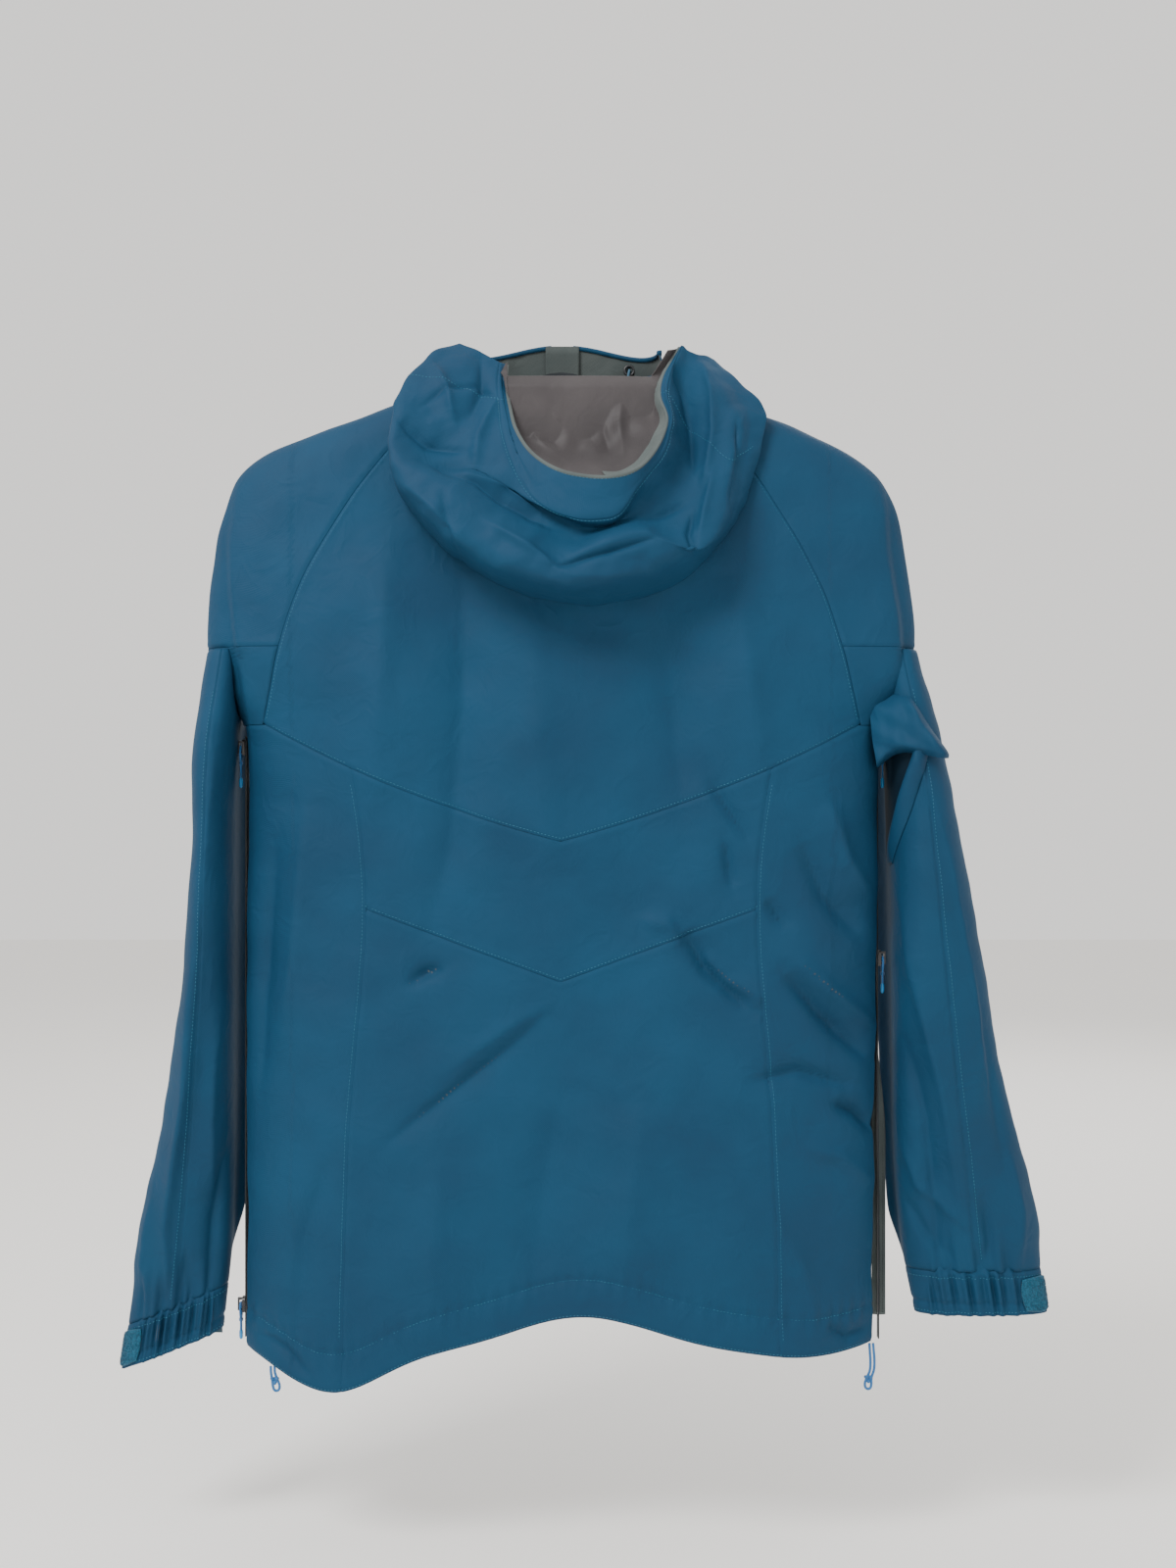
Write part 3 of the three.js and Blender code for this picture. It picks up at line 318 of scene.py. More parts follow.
def cloth(name, dark, light, roughness, threads=1300.0, crumple=14.0, weave_depth=0.00005,
          crease_depth=0.0015, sheen=0.0, crease_strength=0.35):
    """Woven cloth: the crumple's tone mixes two colours, and both creases and weave raise the surface."""
    made, tree, shader = material(name, roughness)
    place = add_node(tree, "ShaderNodeTexCoord").outputs
    weave = add_node(tree, "ShaderNodeGroup", {"Threads": threads, "Place": place["UV"]}, node_tree=WEAVE)
    folds = add_node(tree, "ShaderNodeGroup", {"Scale": crumple, "Place": place["Object"]},
                     node_tree=CRUMPLE)
    tone = folds.outputs["Tone"]
    colour_between(tree, shader, tone, dark, light, 0.3, 0.7)
    creased = relief(tree, shader, folds.outputs["Height"], crease_strength, crease_depth)
    relief(tree, shader, weave.outputs["Height"], 0.6, weave_depth, under=creased)
    rough = add_node(tree, "ShaderNodeMapRange", {"Value": tone, "To Min": roughness - 0.06,
                                                  "To Max": roughness + 0.06})
    tree.links.new(rough.outputs[0], shader.inputs["Roughness"])
    shader.inputs["Sheen Weight"].default_value = sheen
    shader.inputs["Sheen Roughness"].default_value = 0.45
    shader.inputs["Specular IOR Level"].default_value = 0.18
    return made


shell_cloth = cloth("shell_cloth", (0.0053, 0.038, 0.083), (0.0071, 0.049, 0.103), 0.7,
                    crease_depth=0.003, crease_strength=0.5)
backer_cloth = cloth("backer_cloth", (0.055, 0.066, 0.068), (0.085, 0.097, 0.098), 0.7, 1100.0, 20.0,
                     sheen=0.2)
thread_teal = material("thread_teal", 0.6, (0.03, 0.16, 0.25))[0]


def through(stations):
    """A smooth curve through [place, value] stations: cubic pieces whose slopes come from neighbours."""
    places, values = np.array(stations, float).T
    last = len(places) - 1
    before = np.maximum(np.arange(last + 1) - 1, 0)
    after = np.minimum(np.arange(last + 1) + 1, last)
    slopes = (values[after] - values[before]) / (places[after] - places[before])

    def value(x):
        x = np.clip(x, places[0], places[-1])
        i = np.clip(np.searchsorted(places, x, side="right") - 1, 0, last - 1)
        h = places[i + 1] - places[i]
        t = (x - places[i]) / h
        return (values[i] * (1 + 2 * t) * (1 - t) ** 2 + values[i + 1] * t * t * (3 - 2 * t)
                + h * slopes[i] * t * (1 - t) ** 2 - h * slopes[i + 1] * t * t * (1 - t))

    return value


def smooth(t):
    """0 below 0, 1 above 1, and an even s-curve between."""
    t = np.clip(t, 0, 1)
    return t * t * (3 - 2 * t)


def mix(a, b, t):
    """From a, where t is 0, to b, where t is 1, in proportion."""
    return a + (b - a) * t


# The body's outline, in millimetres: the same stations as the frame's panels.
half_width = through([[-746, 240], [-420, 240], [-300, 240], [-244, 242], [-215, 258], [-186, 268],
                      [-115, 261], [-63, 245], [-40, 222], [-20, 182], [-5, 145], [8, 112], [25, 82],
                      [48, 74]])
back_depth = through([[-746, 54], [-430, 49], [-250, 54], [-110, 46], [-30, 37], [12, 32], [48, 30]])


def front_depth(z):
    """The front grows deeper by 21 mm for each metre down."""
    return 43 - 0.021 * z


SPLIT_Z = -420
FRONT_HEM_Z = -692


def opened(z):
    """How far the right side zip stands open: 0 at its slider and 1 at the hem."""
    return smooth((SPLIT_Z - z) / (SPLIT_Z - FRONT_HEM_Z))


def body_point(phi, z, flare=0.0):
    """The body's surface: x is the half width times sine, y the depth times cosine, both squared out."""
    s, c = np.sin(phi), np.cos(phi)
    depth = np.where(c > 0, back_depth(z), front_depth(z))
    return np.stack([(half_width(z) + flare) * s, -depth * c * np.sqrt(1 + s * s), z + 0 * phi], -1)


def back_phi(x, z):
    """The angle at which the back has this x: its sine is x over the half width."""
    return np.arcsin(np.clip(x / half_width(z), -1, 1))


def front_phi(x, z):
    """The angle at which the front has this x: half a turn less the back's."""
    return np.pi - back_phi(x, z)


raglan_x = through([[-244, 223], [-150, 197], [-70, 153], [-20, 112], [25, 60]])
princess_x = through([[-746, 163], [-540, 156], [-400, 145], [-330, 147], [-244, 160]])
ARMPIT_Z = -244
SLEEVE_SEAM_Z = -186


def bell(x, centre, width):
    """A rounded bump: 1 at the centre, and 0.37 at one width to each side of it."""
    return np.exp(-(((x - centre) / width) ** 2))


def yoke_z(x):
    """The yoke's seam: a chevron that curves up towards its ends."""
    return -330 + 0.25 * np.abs(x) + 0.00063 * x * x


def lower_seam_z(x):
    """The lower seam: a plain chevron, steeper than the yoke's."""
    return -434 + 0.37 * np.abs(x)


def hem_z(x):
    """The back hem: level, with a rise at its middle and a drop towards each side."""
    return -706 + 26 * bell(x, 18, 72) - 31 * bell(x, -170, 52) - 6 * bell(x, 180, 45)


def neck_z(phi):
    """The neck's seam: highest at the sides, and lower at the back and at the front by cosine squared."""
    c = np.cos(phi)
    return mix(25, np.where(c > 0, 12, -34), c * c)


def waves(x, z, lengths, seed):
    """Soft unevenness: for each wavelength, five slanting sines whose directions come from the seed."""
    rng = np.random.default_rng(seed)
    total = np.zeros(np.broadcast(x, z).shape)
    for length, height in lengths:
        for _ in range(5):
            angle, phase = rng.uniform(0, 2 * np.pi, 2)
            stretch = rng.uniform(0.7, 1.3)
            run = (x * np.cos(angle) + z * np.sin(angle)) * 2 * np.pi / (length * stretch)
            total += height * np.sin(run + phase) / 2.2
    return total


def along_line(x, z, line):
    """For each point: its signed distance from a broken line, and how far along the line it lies, 0 to 1."""
    line = np.array(line, float)
    steps = np.diff(line, axis=0)
    lengths = np.linalg.norm(steps, axis=1)
    starts = np.concatenate([[0], np.cumsum(lengths)[:-1]])
    nearest = np.full(np.shape(x), 1e9)
    signed = np.zeros(np.shape(x))
    share = np.zeros(np.shape(x))
    for origin, step, length, start in zip(line[:-1], steps, lengths, starts):
        dx, dz = x - origin[0], z - origin[1]
        t = np.clip((dx * step[0] + dz * step[1]) / length**2, 0, 1)
        away = np.hypot(dx - t * step[0], dz - t * step[1])
        side = np.sign(dx * step[1] - dz * step[0])
        closer = away < nearest
        nearest = np.where(closer, away, nearest)
        signed = np.where(closer, away * side, signed)
        share = np.where(closer, (start + t * length) / lengths.sum(), share)
    return signed, share


def creases(x, z, folds):
    """Height of all folds: each is a line with a height and a width on each side of it, sharp
    along the line, and fading at its ends."""
    total = np.zeros(np.shape(x))
    for line, height, width_a, width_b in folds:
        away, share = along_line(x, z, line)
        width = np.where(away > 0, width_a, width_b)
        fade = np.sqrt(np.clip(np.sin(np.pi * np.clip(share, 0.02, 0.98)), 0, 1))
        total += height * fade * np.exp(-1.5 * (np.sqrt((away / width) ** 2 + 0.02) - 0.14))
    return total


# Folds of the hung back: [line], height, width to one side and width to the other, in millimetres.
BACK_FOLDS = [
    ([[-72, -130], [-72, -230], [-80, -330], [-96, -395]], -5.0, 26, 30),
    ([[-20, -150], [-16, -260], [-8, -360]], 3.0, 40, 40),
    ([[-128, -110], [-132, -200], [-138, -300]], 3.5, 30, 30),
    ([[70, -130], [84, -230], [92, -330]], -3.5, 26, 30),
    ([[128, -130], [140, -220], [150, -300]], 3.0, 30, 26),
    ([[-112, -436], [-100, -428], [-86, -424]], -4.0, 5, 9),
    ([[108, -284], [122, -306], [140, -332]], -3.0, 6, 10),
    ([[120, -330], [127, -366]], -3.0, 5, 8),
    ([[88, -396], [106, -424], [140, -455]], -6.0, 6, 14),
    ([[92, -404], [78, -392], [60, -388]], 3.0, 8, 10),
    ([[104, -412], [122, -432], [150, -448]], 3.5, 10, 7),
    ([[150, -374], [168, -396]], -3.0, 5, 8),
    ([[-14, -460], [-34, -478], [-80, -514], [-128, -552]], -2.6, 5, 10),
    ([[-10, -452], [-40, -468], [-84, -500]], 2.0, 14, 10),
    ([[164, -428], [196, -462], [232, -494]], -5.0, 7, 12),
    ([[170, -414], [204, -444], [236, -470]], 4.0, 10, 8),
    ([[142, -508], [176, -500], [222, -514]], -3.6, 6, 9),
    ([[204, -526], [222, -534], [238, -548]], -4.5, 5, 8),
    ([[180, -556], [208, -566], [236, -590]], 3.0, 9, 12),
    ([[176, -330], [196, -372], [224, -402]], -4.0, 10, 12),
    ([[196, -300], [210, -344], [230, -372]], 4.0, 12, 10),
    ([[150, -600], [176, -640], [190, -690]], 2.5, 14, 14),
    ([[-188, -300], [-196, -380], [-206, -470]], 3.0, 16, 20),
    ([[-214, -330], [-222, -420], [-226, -520]], -3.0, 10, 14),
    ([[-170, -560], [-190, -620], [-196, -690]], -2.5, 12, 14),
    ([[60, -520], [50, -600], [44, -690]], 3.0, 34, 34),
    ([[0, -500], [-14, -600], [-24, -690]], -2.5, 30, 30),
    ([[-90, -560], [-94, -640], [-90, -710]], 2.5, 26, 30),
    ([[-226, -700], [-206, -708], [-186, -726]], -2.5, 4, 7),
    ([[196, -690], [214, -700], [232, -694]], -2.5, 4, 6),
]

# Folds of the fronts, in the same form.
FRONT_FOLDS = [
    ([[-60, -90], [-66, -200], [-70, -330]], -3.5, 26, 30),
    ([[64, -90], [70, -210], [66, -340]], -3.5, 26, 30),
    ([[150, -120], [170, -230], [190, -320]], 3.5, 24, 24),
    ([[-150, -120], [-170, -230], [-190, -320]], 3.5, 24, 24),
    ([[20, -430], [60, -470], [120, -500]], -3.0, 8, 14),
    ([[-20, -420], [-70, -452], [-130, -470]], -3.0, 8, 14),
    ([[100, -560], [90, -630], [96, -690]], 3.0, 26, 30),
    ([[-100, -560], [-90, -630], [-96, -690]], 3.0, 26, 30),
    ([[200, -430], [216, -470], [236, -490]], -3.5, 8, 12),
    ([[-200, -430], [-216, -470], [-236, -490]], -3.5, 8, 12),
]


def torso_height(x, z, back):
    """How far the cloth stands from the panel's plain surface, in millimetres: waves, folds, and at the
    hem a stuffed tunnel with a groove of stitches that puckers it."""
    seed, strength, folds, hem = 11, 1.5, FRONT_FOLDS, FRONT_HEM_Z
    if back:
        seed, strength, folds, hem = 3, 2.1, BACK_FOLDS, hem_z(x)
    soft = waves(x, z, [(210, 1.8), (90, 0.8), (38, 0.28)], seed) + strength * creases(x, z, folds)
    above = z - hem
    tunnel = 0.9 * bell(above, 14, 11) - 1.0 * bell(above, 28, 2.2)
    pucker = 0.7 * np.sin(x * 0.62 + 1.3 * np.sin(x * 0.09)) * bell(above, 27, 10)
    return soft + tunnel + pucker


def edge_steps(length, spacing, rim=(0.0, 0.7, 1.5, 2.6, 4.2)):
    """Shares from 0 to 1: even steps of about spacing, with finer ones beside both ends."""
    inner = np.linspace(6, length - 6, max(3, int(length / spacing)))
    ends = np.array(rim)
    return np.concatenate([ends, inner, length - ends[::-1]]) / length


def normals_of(points):
    """Unit normals of a grid of points, from the cross product of its two directions."""
    across = np.gradient(points, axis=1)
    down = np.gradient(points, axis=0)
    normal = np.cross(across, down)
    return normal / np.maximum(np.linalg.norm(normal, axis=-1, keepdims=True), 1e-12)


def new_piece(name, points, faces, finish, body):
    """A mesh piece from points in millimetres and faces. With no body, it is left unattached."""
    mesh = bpy.data.meshes.new(name)
    mesh.from_pydata((points * MM).tolist(), [], faces)
    mesh.materials.append(finish)
    mesh.update()
    piece = bpy.data.objects.new(name, mesh)
    scene.collection.objects.link(piece)
    if body:
        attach(piece, body)
    return piece


def lay_flat(piece, places):
    """Smooth shading, and the flat place of each face's corners, in millimetres."""
    layer = piece.data.uv_layers.new(name="UVMap")
    layer.data.foreach_set("uv", (places * MM).ravel())
    piece.data.polygons.foreach_set("use_smooth", np.ones(len(piece.data.polygons), bool))


def volume_of(points, quads):
    """Six times the signed volume inside a closed mesh of four-cornered faces."""
    a, b, c, d = (points[quads[:, k]] for k in range(4))
    return (np.einsum("ij,ij->i", a, np.cross(b, c)) + np.einsum("ij,ij->i", a, np.cross(c, d))).sum()


def closed_round(grid):
    """The grid of a tube, with its last column repeated before it and its first one after it."""
    return np.concatenate([grid[:, -1:], grid, grid[:, :1]], 1)


def facing(points, away):
    """Unit normals of the grid, turned as one so that most of them look along away."""
    normal = normals_of(points)
    return -normal if np.einsum("ijk,ijk->ij", normal, away).mean() < 0 else normal


def sheet_piece(name, outer, finish, body, away, thickness=0.9, uv=None, wrap=False, inside=None):
    """A closed sheet: the outer grid, a copy pushed in by the thickness, and a rim that joins them.

    away is a direction, or one for each point, that the outer face looks towards. With wrap the grid's
    first and last columns meet, as on a tube.
    """
    normal = normals_of(closed_round(outer))[:, 1:-1] if wrap else normals_of(outer)
    if np.einsum("ijk,ijk->ij", normal, np.broadcast_to(away, outer.shape)).mean() < 0:
        normal = -normal
    inner = outer - normal * thickness
    rows, columns = outer.shape[:2]
    index = np.arange(rows * columns).reshape(rows, columns)
    if wrap:
        index = np.concatenate([index, index[:, :1]], 1)
    offset = rows * columns
    a, b, c, d = index[:-1, :-1], index[:-1, 1:], index[1:, 1:], index[1:, :-1]
    front = np.stack([a, b, c, d], -1).reshape(-1, 4)
    quads = [front, front[:, ::-1] + offset]
    edges = [(index[0], 1), (index[-1], -1)]
    if not wrap:
        edges += [(index[:, 0], -1), (index[:, -1], 1)]
    for line, sign in edges:
        p, q = (line[1:], line[:-1]) if sign > 0 else (line[:-1], line[1:])
        quads.append(np.stack([p, q, q + offset, p + offset], -1))
    quads = np.concatenate(quads)
    points = np.concatenate([outer.reshape(-1, 3), inner.reshape(-1, 3)])
    if volume_of(points, quads) < 0:
        quads = quads[:, ::-1]
    if uv is None:
        along = np.linalg.norm(np.diff(outer, axis=1, prepend=outer[:, :1]), axis=-1).cumsum(1)
        down = np.linalg.norm(np.diff(outer, axis=0, prepend=outer[:1]), axis=-1).cumsum(0)
        uv = np.stack([along, down], -1)
    flat = uv.reshape(-1, 2)
    piece = new_piece(name, points, quads.tolist(), finish, body)
    lay_flat(piece, np.concatenate([flat, flat])[quads.ravel()])
    if inside is not None:
        piece.data.materials.append(inside)
        which = np.zeros(len(quads), np.int32)
        which[len(front):2 * len(front)] = 1
        piece.data.polygons.foreach_set("material_index", which)
    return piece


def panel_grid(across, down, spacing):
    """The two shares of a panel's grid, finer at its sewn edges, and their lengths in millimetres."""
    u = edge_steps(across, spacing)
    v = edge_steps(down, spacing)
    return np.meshgrid(u, v)


def seam_dip(u, v, across, down):
    """The shallow groove along a sewn edge: 0.35 mm deep at the edge, with a low ridge 3.4 mm from it."""
    dip = np.zeros(u.shape)
    for away in (u * across, (1 - u) * across, v * down, (1 - v) * down):
        dip += 0.35 * bell(away, 0, 1.5) - 0.3 * bell(away, 3.4, 1.6)
    return -dip


# ---- Back panels ----
# The back is five panels of shell cloth, sewn edge to edge: a yoke, a middle and a lower panel with a
# chevron seam above and below the middle one, and a side panel beyond each princess seam.
def away_from_body(base):
    """Directions from the body's upright middle line, with depth counted twelve times."""
    return np.stack([base[..., 0], base[..., 1] * 12, 0 * base[..., 0]], -1)


# The back's cloth folds over beside the armhole: its edge, and how far it stands off the sleeve.
fold_edge = {
    1: through([[-300, 246], [-262, 250], [-233, 257], [-192, 256], [-155, 252], [-112, 246], [-65, 242]]),
    -1: through([[-300, 238], [-247, 237], [-190, 242], [-125, 247], [-65, 244]]),
}
fold_stand = {
    1: through([[-310, 0], [-262, 7], [-240, 11], [-190, 10], [-120, 5.5], [-70, 2.5], [-40, 0]]),
    -1: through([[-300, 0], [-262, 4], [-240, 7], [-190, 7], [-120, 4], [-70, 1.5], [-40, 0]]),
}


def armhole_fold(x, z):
    """A fold that rises towards its edge over 26 mm, and drops back within 6 mm round it."""
    total = np.zeros(np.shape(x))
    for side in (1, -1):
        inside = fold_edge[side](z) - x * side
        rise = smooth(inside / 6 + 0.5) * np.exp(-((np.maximum(inside, 0) / 26) ** 2))
        total += np.where(x * side > 120, fold_stand[side](z) * rise, 0)
    return total


def calm(x, y, z):
    """1 where a zip keeps the cloth flat, and 0 away from every zip."""
    side = np.exp(-((y / 9) ** 2)) * smooth((-240 - z) / 20)
    front = smooth((y - 10) / 15)
    middle = np.exp(-((x / 20) ** 2)) * front
    hand = np.exp(-(((np.abs(x) - 150) / 13) ** 2)) * smooth((z + 606) / 12) * smooth((-414 - z) / 12) * front
    chest = np.exp(-(((x + 88) / 12) ** 2)) * smooth((z + 304) / 12) * smooth((-136 - z) / 12) * front
    return np.clip(side + middle + hand + chest, 0, 1)


def raised(base, dip=0.0):
    """The body's plain surface raised by its folds along its normals, and by the armhole folds backwards."""
    x, y, z = base[..., 0], base[..., 1], base[..., 2]
    normal = facing(base, away_from_body(base))
    height = mix(torso_height(x, z, True), torso_height(x, z, False), smooth((y + 10) / 20))
    out = base + normal * (height * (1 - calm(x, y, z)) + dip)[..., None]
    out[..., 1] -= armhole_fold(x, z) * smooth(-y / 14)
    return out


def torso_panel(node, surface, across, down, spacing=2.8, inside=backer_cloth):
    """One sewn panel: surface(u, v) gives its plain shape, and the cloth's folds raise it."""
    u, v = panel_grid(across, down, spacing)
    base = surface(u, v)
    outer = raised(base, seam_dip(u, v, across, down))
    uv = np.stack([base[..., 0] + 2 * base[..., 1] * (np.abs(base[..., 0]) > 200), base[..., 2]], -1)
    piece = sheet_piece(node + "_cloth", outer, shell_cloth, "jacket", away=away_from_body(base),
                        uv=uv, inside=inside)
    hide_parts(node)
    return piece


def between(left, right, bottom, top):
    """A back panel's plain shape between two lines x(z) and two lines z(x), settled by substitution."""

    def surface(u, v):
        z = mix(bottom(0.0), top(0.0), v)
        for _ in range(8):
            x = mix(left(z), right(z), u)
            z = mix(bottom(x), top(x), v)
        return body_point(back_phi(x, z), z)

    return surface


SEAM = 0.05


def inside_of(line):
    """The two lines x(z), at the left and the right, that stop a seam's gap short of this one."""
    return lambda z: SEAM - line(z), lambda z: line(z) - SEAM


def neck_seam(x):
    """The yoke's top edge: the neck's seam, with the angle read 15 mm up."""
    return neck_z(back_phi(x, 15.0))


torso_panel("back_yoke", between(*inside_of(raglan_x), lambda x: yoke_z(x) + SEAM, neck_seam), 400, 310)
torso_panel("back_middle_panel", between(*inside_of(princess_x), lambda x: lower_seam_z(x) + SEAM,
                                         lambda x: yoke_z(x) - SEAM), 300, 100)
torso_panel("back_lower_panel", between(*inside_of(princess_x), hem_z,
                                        lambda x: lower_seam_z(x) - SEAM), 310, 285)

ZIP_GAP = 8.6  # from the middle of a closed zip to the edges of its two panels
ZIP_SPREAD = 6  # the most that each edge of the open zip moves from the middle
ZIP_FLARE = 3  # and that its front edge turns out
PRINCESS_LAP = 0.8  # the side panels reach this far under the princess seams


def zip_edge(z, side, depth):
    """The angle off the side line at which a panel stops beside the zip's tape."""
    gap = ZIP_GAP + (ZIP_SPREAD * opened(z) if side > 0 else 0)
    return np.arcsin(gap / (depth(z) * math.sqrt(2)))


def back_side(side):
    """The side panel's plain shape: from the princess seam to the side zip, and up to the armpit."""

    def surface(u, v):
        phi, z = back_phi(princess_x(-500) + SEAM, -500) + 0 * u, 0 * u
        for _ in range(8):
            x = half_width(z) * np.sin(phi)
            z = mix(hem_z(side * x), np.minimum(yoke_z(x) - SEAM, ARMPIT_Z - SEAM), v)
            phi = mix(back_phi(princess_x(z) - PRINCESS_LAP, z), np.pi / 2 - zip_edge(z, side, back_depth), u)
        return body_point(side * phi, z)

    return surface


SIDES = {"left": -1, "right": 1}
for name, side in SIDES.items():
    torso_panel(f"back_side_panel_{name}", back_side(side), 95, 465)

# ---- Shoulders and underarm gussets ----
# Each shoulder panel is the top of a raglan sleeve, and reaches over from the back to the front. The
# gusset under it joins the body to the sleeve, with the armhole through it.
NECK_SEAM = 0.7  # the shoulder stops this far below the collar


def shoulder(side):
    """The shoulder's plain shape: over the side between the raglan seams, up from the sleeve's seam."""

    def surface(u, v):
        z = 0 * u
        for _ in range(10):
            phi = mix(back_phi(raglan_x(z) + SEAM, z), front_phi(raglan_x(z) + SEAM, z), u)
            z = mix(SLEEVE_SEAM_Z, neck_z(phi) - NECK_SEAM, v)
        return body_point(side * phi, z)

    return surface


def gusset(side):
    """A ring of cloth round the armhole: from the hole's edge out to the gusset's four seams."""

    def surface(u, v):
        a = 2 * np.pi * u
        c, s = np.cos(a), np.sin(a)
        square = 1 / np.maximum(np.abs(c), np.abs(s))
        across, up = 0.5 + 0.5 * c * square, 0.5 + 0.5 * s * square
        hole_across, hole_up = 0.52 + 0.15 * c, 0.40 + 0.20 * s
        across, up = mix(hole_across, across, v), mix(hole_up, up, v)
        z = mix(ARMPIT_Z, SLEEVE_SEAM_Z - SEAM, up)
        phi = mix(back_phi(raglan_x(z) + SEAM, z), front_phi(raglan_x(z) + SEAM, z), across)
        return body_point(side * phi, z)

    return surface


for name, side in SIDES.items():
    torso_panel(f"shoulder_panel_{name}", shoulder(side), 240, 230, inside=None)
    u, v = np.meshgrid(np.linspace(0, 1, 121)[:-1], np.linspace(0, 1, 26))
    base = gusset(side)(u, v)
    piece = sheet_piece(f"underarm_gusset_{name}_cloth", raised(base), shell_cloth, "jacket",
                        away=away_from_body(base), wrap=True)
    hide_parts(f"underarm_gusset_{name}")

# ---- Front panels ----
# The fronts reach from the side zips to the front zip, with a chest panel above each. They are of the
# same cloth, sewn edge to edge, and are sewn to the zips' tapes.


def front_lower(side):
    """The lower front's plain shape: from the side zip to the front zip, and up to the armpit."""

    def surface(u, v):
        z = mix(FRONT_HEM_Z, ARMPIT_Z - SEAM, v)
        phi = mix(np.pi / 2 + zip_edge(z, side, front_depth), front_phi(ZIP_GAP, z), u)
        return body_point(side * phi, z, ZIP_FLARE * opened(z) if side > 0 else 0.0)

    return surface


def chest(side):
    """The chest panel's plain shape: from the raglan seam to the front zip, and up to the collar."""

    def surface(u, v):
        z = 0 * u
        for _ in range(10):
            phi = mix(front_phi(raglan_x(z) - SEAM, z), front_phi(ZIP_GAP, z), u)
            z = mix(ARMPIT_Z, neck_z(phi) - SEAM, v)
        return body_point(side * phi, z)

    return surface


for name, side in SIDES.items():
    torso_panel(f"front_panel_{name}", front_lower(side), 250, 448, spacing=3.2)
    torso_panel(f"chest_panel_{name}", chest(side), 200, 230, spacing=3.2)

# ---- Sleeves ----
# Each sleeve is a long tapering tube of shell cloth with one seam along its back and one along its
# front. It is sewn to the shoulder above and to the gathered cuff below.
SLEEVES = {
    "right": {
        "side": 1, "cuff_z": -690, "tilt": 0, "seed": 21,
        "outer": through([[-693, 371], [-641, 363], [-576, 353], [-504, 337], [-396, 315], [-310, 298],
                          [-233, 282], [-190, 271.4], [-186, 270.5]]),
        "inner": through([[-693, 270], [-641, 260], [-576, 254], [-450, 251], [-350, 249], [-262, 246],
                          [-190, 238]]),
        "gather": (276, 352),
        "folds": [
            ([[262, -262], [284, -330], [306, -420], [318, -500]], 4.5, 5, 16),
            ([[276, -300], [300, -390], [322, -490], [334, -580]], -3.5, 8, 12),
            ([[252, -360], [262, -430], [284, -520], [300, -610]], 4.0, 7, 14),
            ([[254, -470], [272, -540], [282, -620], [286, -660]], -4.0, 7, 11),
            ([[336, -560], [344, -610], [346, -660]], 4.0, 8, 10),
            ([[256, -560], [268, -590], [300, -618]], 3.4, 5, 10),
            ([[258, -600], [276, -630], [296, -650]], -3.4, 4, 8),
            ([[316, -600], [322, -632], [318, -662]], -3.6, 5, 9),
        ],
    },
    "left": {
        "side": -1, "cuff_z": -718, "tilt": 16, "seed": 31,
        "outer": through([[-737, 339], [-698, 333], [-648, 325], [-576, 311], [-504, 298], [-432, 286],
                          [-346, 280], [-259, 276], [-190, 269], [-186, 268]]),
        "inner": through([[-737, 261], [-706, 257], [-640, 251], [-576, 249], [-350, 248], [-262, 246],
                          [-190, 238]]),
        "gather": (262, 322),
        "folds": [
            ([[-258, -262], [-266, -380], [-276, -500], [-292, -600]], 4.0, 12, 7),
            ([[-270, -420], [-280, -520], [-296, -620], [-297, -700]], 4.5, 10, 6),
            ([[-252, -560], [-262, -620], [-268, -690]], -4.0, 8, 8),
            ([[-306, -600], [-314, -650], [-312, -700]], 3.4, 8, 6),
            ([[-282, -640], [-282, -680], [-286, -712]], -3.8, 6, 6),
            ([[-256, -460], [-262, -540], [-262, -600]], 3.0, 8, 10),
        ],
    },
}
sleeve_deep = through([[-740, 16], [-690, 17], [-640, 24], [-550, 36], [-450, 46], [-350, 52], [-260, 50],
                       [-190, 38]])
CUFF = 34


def sleeve_point(spec, angle, z):
    """The sleeve's tube: across by cosine and deep by sine, squared out a little; angle 0 looks outwards."""
    c, s = np.cos(angle), np.sin(angle)
    wide = np.sqrt(1 + 0.4 * c * c * s * s)
    outer, inner = spec["outer"](z), spec["inner"](z)
    low = spec["tilt"] * c * smooth((-500 - z) / 200)
    lip = 10 * bell(angle, 0.84 * np.pi, 0.2) * smooth((-228 - z) / 25) * smooth((z + 670) / 60)
    return np.stack([spec["side"] * ((outer + inner) / 2 + (outer - inner) / 2 * c * wide - lip),
                     8 + sleeve_deep(z) * s * wide, z - low], -1)


def sleeve_height(spec, angle, x, z, cuff_top):
    """Soft waves, long folds on the back and the front, and gathers that die out 70 mm above the cuff."""
    back = smooth(-np.sin(angle) * 1.5 + 0.3)
    seed = spec["seed"]
    soft = waves(x * spec["side"], z, [(170, 1.5), (76, 0.6), (30, 0.25)], seed)
    soft = soft + 1.5 * creases(x, z, spec["folds"]) * back
    mirrored = [(line, height * 0.8, a, b) for line, height, a, b in spec["folds"]]
    soft = soft + creases(x - 6 * spec["side"], z + 26, mirrored) * (1 - back)
    soft = soft * (1 - 0.9 * bell(angle, np.pi, 0.6))
    low, high = spec["gather"]
    across = x * spec["side"]
    held = smooth((across - low) / 8) * smooth((high - across) / 8)
    ripple = np.sin(angle * 17 + 2.2 * np.sin(angle * 3 + seed)) + 0.6 * np.sin(angle * 31 + seed)
    above = z - cuff_top
    return soft * smooth((above + 4) / 40 + 0.1) + 1.5 * ripple * held * np.exp(-((above / 30) ** 2))


